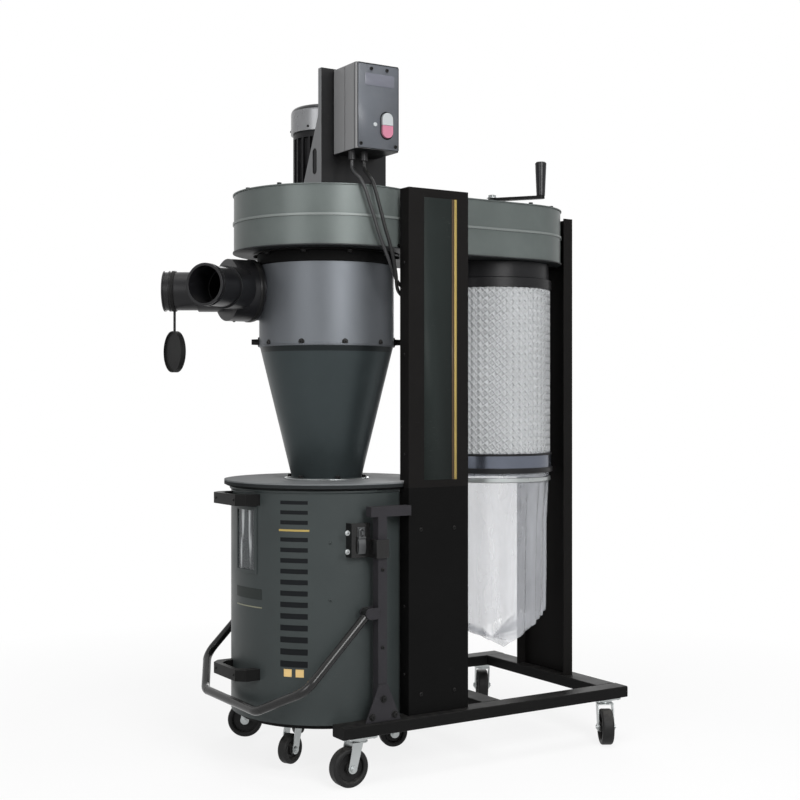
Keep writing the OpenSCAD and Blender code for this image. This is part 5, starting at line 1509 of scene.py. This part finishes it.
@dataclass
class FilterSet:
    """The filter, its bands and the clear dust bag."""

    axis_x: float = 664.0
    filter_r: float = 165.0
    cage_z: float = 788.0
    cage_h: float = 458.0
    band_z: float = 734.0
    band_h: float = 54.0
    neck_r: float = 150.0
    neck_z: float = 1272.0
    clamp_r: float = 164.2
    clamp_z: float = 709.5
    bag_r: float = 161.6
    bag_low: float = 336.0
    bag_tip: float = 260.0
    seam_way: float = 246.0
    tuck_way: float = 292.0
    lattice_columns: int = 54
    lattice_rows: int = 22
    strand: float = 6.2
    strand_depth: float = 1.2
    pleats: int = 60
    fleece_r: float = 163.55
    fleece_thick: float = 0.2
    fold_depth: float = 2.4
    film_around: int = 180
    film_rows: int = 44
    foot_rows: int = 16
    folds: tuple = ((0.5, 5, 0.7), (0.3, 9, 2.1), (0.2, 16, 4.0))
    ripples: tuple = ((0.6, 23, 1.0), (0.4, 37, 2.0))
    film_over: float = 12.0
    film_slack: float = 4.5
    fold_in: float = 3.0
    sway_in: float = 2.0
    crease_in: float = 3.6
    tuck_in: float = 11.0
    taper_in: float = 4.0
    ripple_in: float = 4.2
    ripple_from: float = 0.86

    def build(self) -> None:
        """Dresses the filter and makes its lattice, bands and bag."""
        dress(Paint.NECK, "filter_neck", "filter_head")
        dress(Paint.BAND, "filter_band")
        dress(Paint.CLOTH, "filter_pleats")
        self.lattice()
        self.fleece()
        self.bands()
        self.bag()

    def lattice(self) -> None:
        """The white expanded-metal cage."""
        axis = place(self.axis_x, 0, self.cage_z + self.cage_h / 2)
        mesh = LatticeTool.run(
            bpy.data.meshes.new("cage_start"), Columns=self.lattice_columns, Rows=self.lattice_rows,
            Radius=(self.filter_r - 0.8) * MM, Height=self.cage_h * MM, Strand=self.strand * MM,
            Depth=self.strand_depth * MM, Axis=tuple(axis), Metal=Paint.CAGE.material())
        mesh.name = "cage_lattice"
        piece = link_piece("cage_lattice", mesh, "frame")
        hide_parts("filter_cage")

    def fleece(self) -> None:
        """The thin fleece over the pleats, drawn a little into each fold."""
        around, thick = 8 * self.pleats, self.fleece_thick
        low, high = self.cage_z + 0.5, self.cage_z + self.cage_h - 0.5
        points = []
        for k in range(around):
            way = 360.0 * k / around
            r = self.fleece_r - self.fold_depth * (0.5 - 0.5 * math.cos(math.radians(self.pleats * way)))
            points += [about(self.axis_x, r, way, low), about(self.axis_x, r, way, high),
                       about(self.axis_x, r - thick, way, high), about(self.axis_x, r - thick, way, low)]
        mesh = mesh_of("filter_fleece", points, loop_faces(around, 4), Paint.FLEECE, 60.0)
        link_piece("filter_fleece", mesh, "frame")

    def bands(self) -> None:
        """Rolled beads on the lower band, a black sleeve on the neck that is painted shade in the gap under
        the housing, and the bright clamp at the top of the bag.
        """
        r, z = self.filter_r + 3.0, self.band_z
        for name, inner, low, tall, out, finish in (
                ("band_bead_top", r + PRINT_GAP, z + self.band_h - 6, 6, 2.0, Paint.NECK),
                ("band_bead_foot", r + PRINT_GAP, z, 15, 4.0, Paint.NECK),
                # The neck's black sleeve fills the gap under the housing: a dark piece that paints the shade
                # there.
                ("neck_sleeve", self.neck_r + 0.2, self.neck_z, 46, 11.0, Paint.NECK),
                ("bag_clamp_ring", self.clamp_r, self.clamp_z, 13, 1.6, Paint.ZINC)):
            ring(name, [(inner, low), (inner + out, low + 1.5), (inner + out, low + tall - 1.5),
                        (inner, low + tall)], self.axis_x, finish)

    def bag(self) -> None:
        """The film bag: a hanging shell with long folds and a foot folded to a seam."""
        around, rows = self.film_around, self.film_rows + self.foot_rows
        points = [self.film_point(2 * math.pi * k / around, i)
                  for i in range(rows + 1) for k in range(around)]
        faces = []
        for i in range(rows):
            for k in range(around):
                n = (k + 1) % around
                faces.append((i * around + k, i * around + n, (i + 1) * around + n, (i + 1) * around + k))
        last = rows * around
        points.append(place(self.axis_x, 0, self.bag_tip - 1))
        faces += [(last + k, last + (k + 1) % around, len(points) - 1) for k in range(around)]
        mesh = mesh_of("bag_film", points, faces, Paint.FILM, 80.0)
        piece = link_piece("bag_film", mesh, "frame")
        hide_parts("dust_bag")

    @staticmethod
    def waves(a: float, parts: Sequence[tuple[float, float, float]]) -> float:
        """The sum of some waves in a direction, each with its share, its count and its shift."""
        return sum(share * math.sin(count * a + shift) for share, count, shift in parts)

    def film_point(self, a: float, i: int) -> Vector:
        """A point of the film.

        Args:
            a: its direction from the bag's axis, in radians.
            i: its row from the top: first those of the hanging part, then those of the folded foot.

        Returns:
            The point.
        """
        rows, top = self.film_rows, self.band_z + self.film_over
        across = math.sin(a - math.radians(self.seam_way))
        rise = self.bag_low - self.bag_tip + 12.0 * across
        slack = max(0.0, math.cos(a - math.radians(self.tuck_way)))
        fold = self.waves(a, self.folds)
        crease = (1 - abs(math.sin(6.5 * a + 0.4)) ** 0.5) * (0.2 + 0.8 * slack)
        tuck = slack ** 3 * (0.5 + 0.5 * math.sin(21 * a + 1.2)) ** 2
        small = self.waves(a, self.ripples)
        if i <= rows:
            t = i / rows
            z = top + (self.bag_tip + rise * abs(across) - top) * t
            ease = min(1.0, t * 3.0)
            sway = 0.35 * math.sin(7 * t + 3 * a) + 0.25 * math.sin(11 * t + 5 * a + 1.0)
            dent = self.film_slack + self.fold_in * fold + self.sway_in * sway
            dent += self.crease_in * crease + self.tuck_in * tuck
            r = self.bag_r - ease * dent - self.taper_in * t * t
            r -= self.ripple_in * small * max(0.0, t - self.ripple_from) / (1 - self.ripple_from)
        else:
            t = (i - rows) / self.foot_rows
            hem = self.bag_r - self.film_slack - self.taper_in - self.fold_in * fold - self.crease_in * crease
            r = (hem - self.tuck_in * tuck - self.ripple_in * small * (1 - t)) * (1 - t)
            z = self.bag_tip + rise * abs(across) * (1 - t)
            z += 7.0 * small * math.sin(math.pi * t) + 4.0 * abs(fold) * math.sin(math.pi * t)
        return about(self.axis_x, max(r, 2.0), math.degrees(a), max(z, self.bag_tip))


@dataclass
class CrankSet:
    """The cleaning crank and its grip."""

    axis_x: float = 664.0
    top_z: float = 1510.5

    def build(self) -> None:
        """Dresses the crank and adds its nut."""
        dress(Paint.HANDLE, "crank")
        dress(Paint.PLASTIC, "crank_grip")
        CRANK_NUT.fit("crank_nut", "frame", [(place(self.axis_x, 0, self.top_z + 0.6), UP)])


def main() -> None:
    """Builds the stage and every sub-assembly."""
    logging.basicConfig(level=logging.INFO, format="%(name)s: %(message)s")
    bpy.context.scene.view_settings.view_transform = "Standard"
    for part in (Stage(), Cables(), BaseFrame(), Casters(), DrumSet(), Cyclone(), Inlet(), FanBox(),
                 MotorSet(), FilterSet(), CrankSet()):
        part.build()
        LOG.info("finished %s", type(part).__name__)


if __name__ == "__main__":
    main()
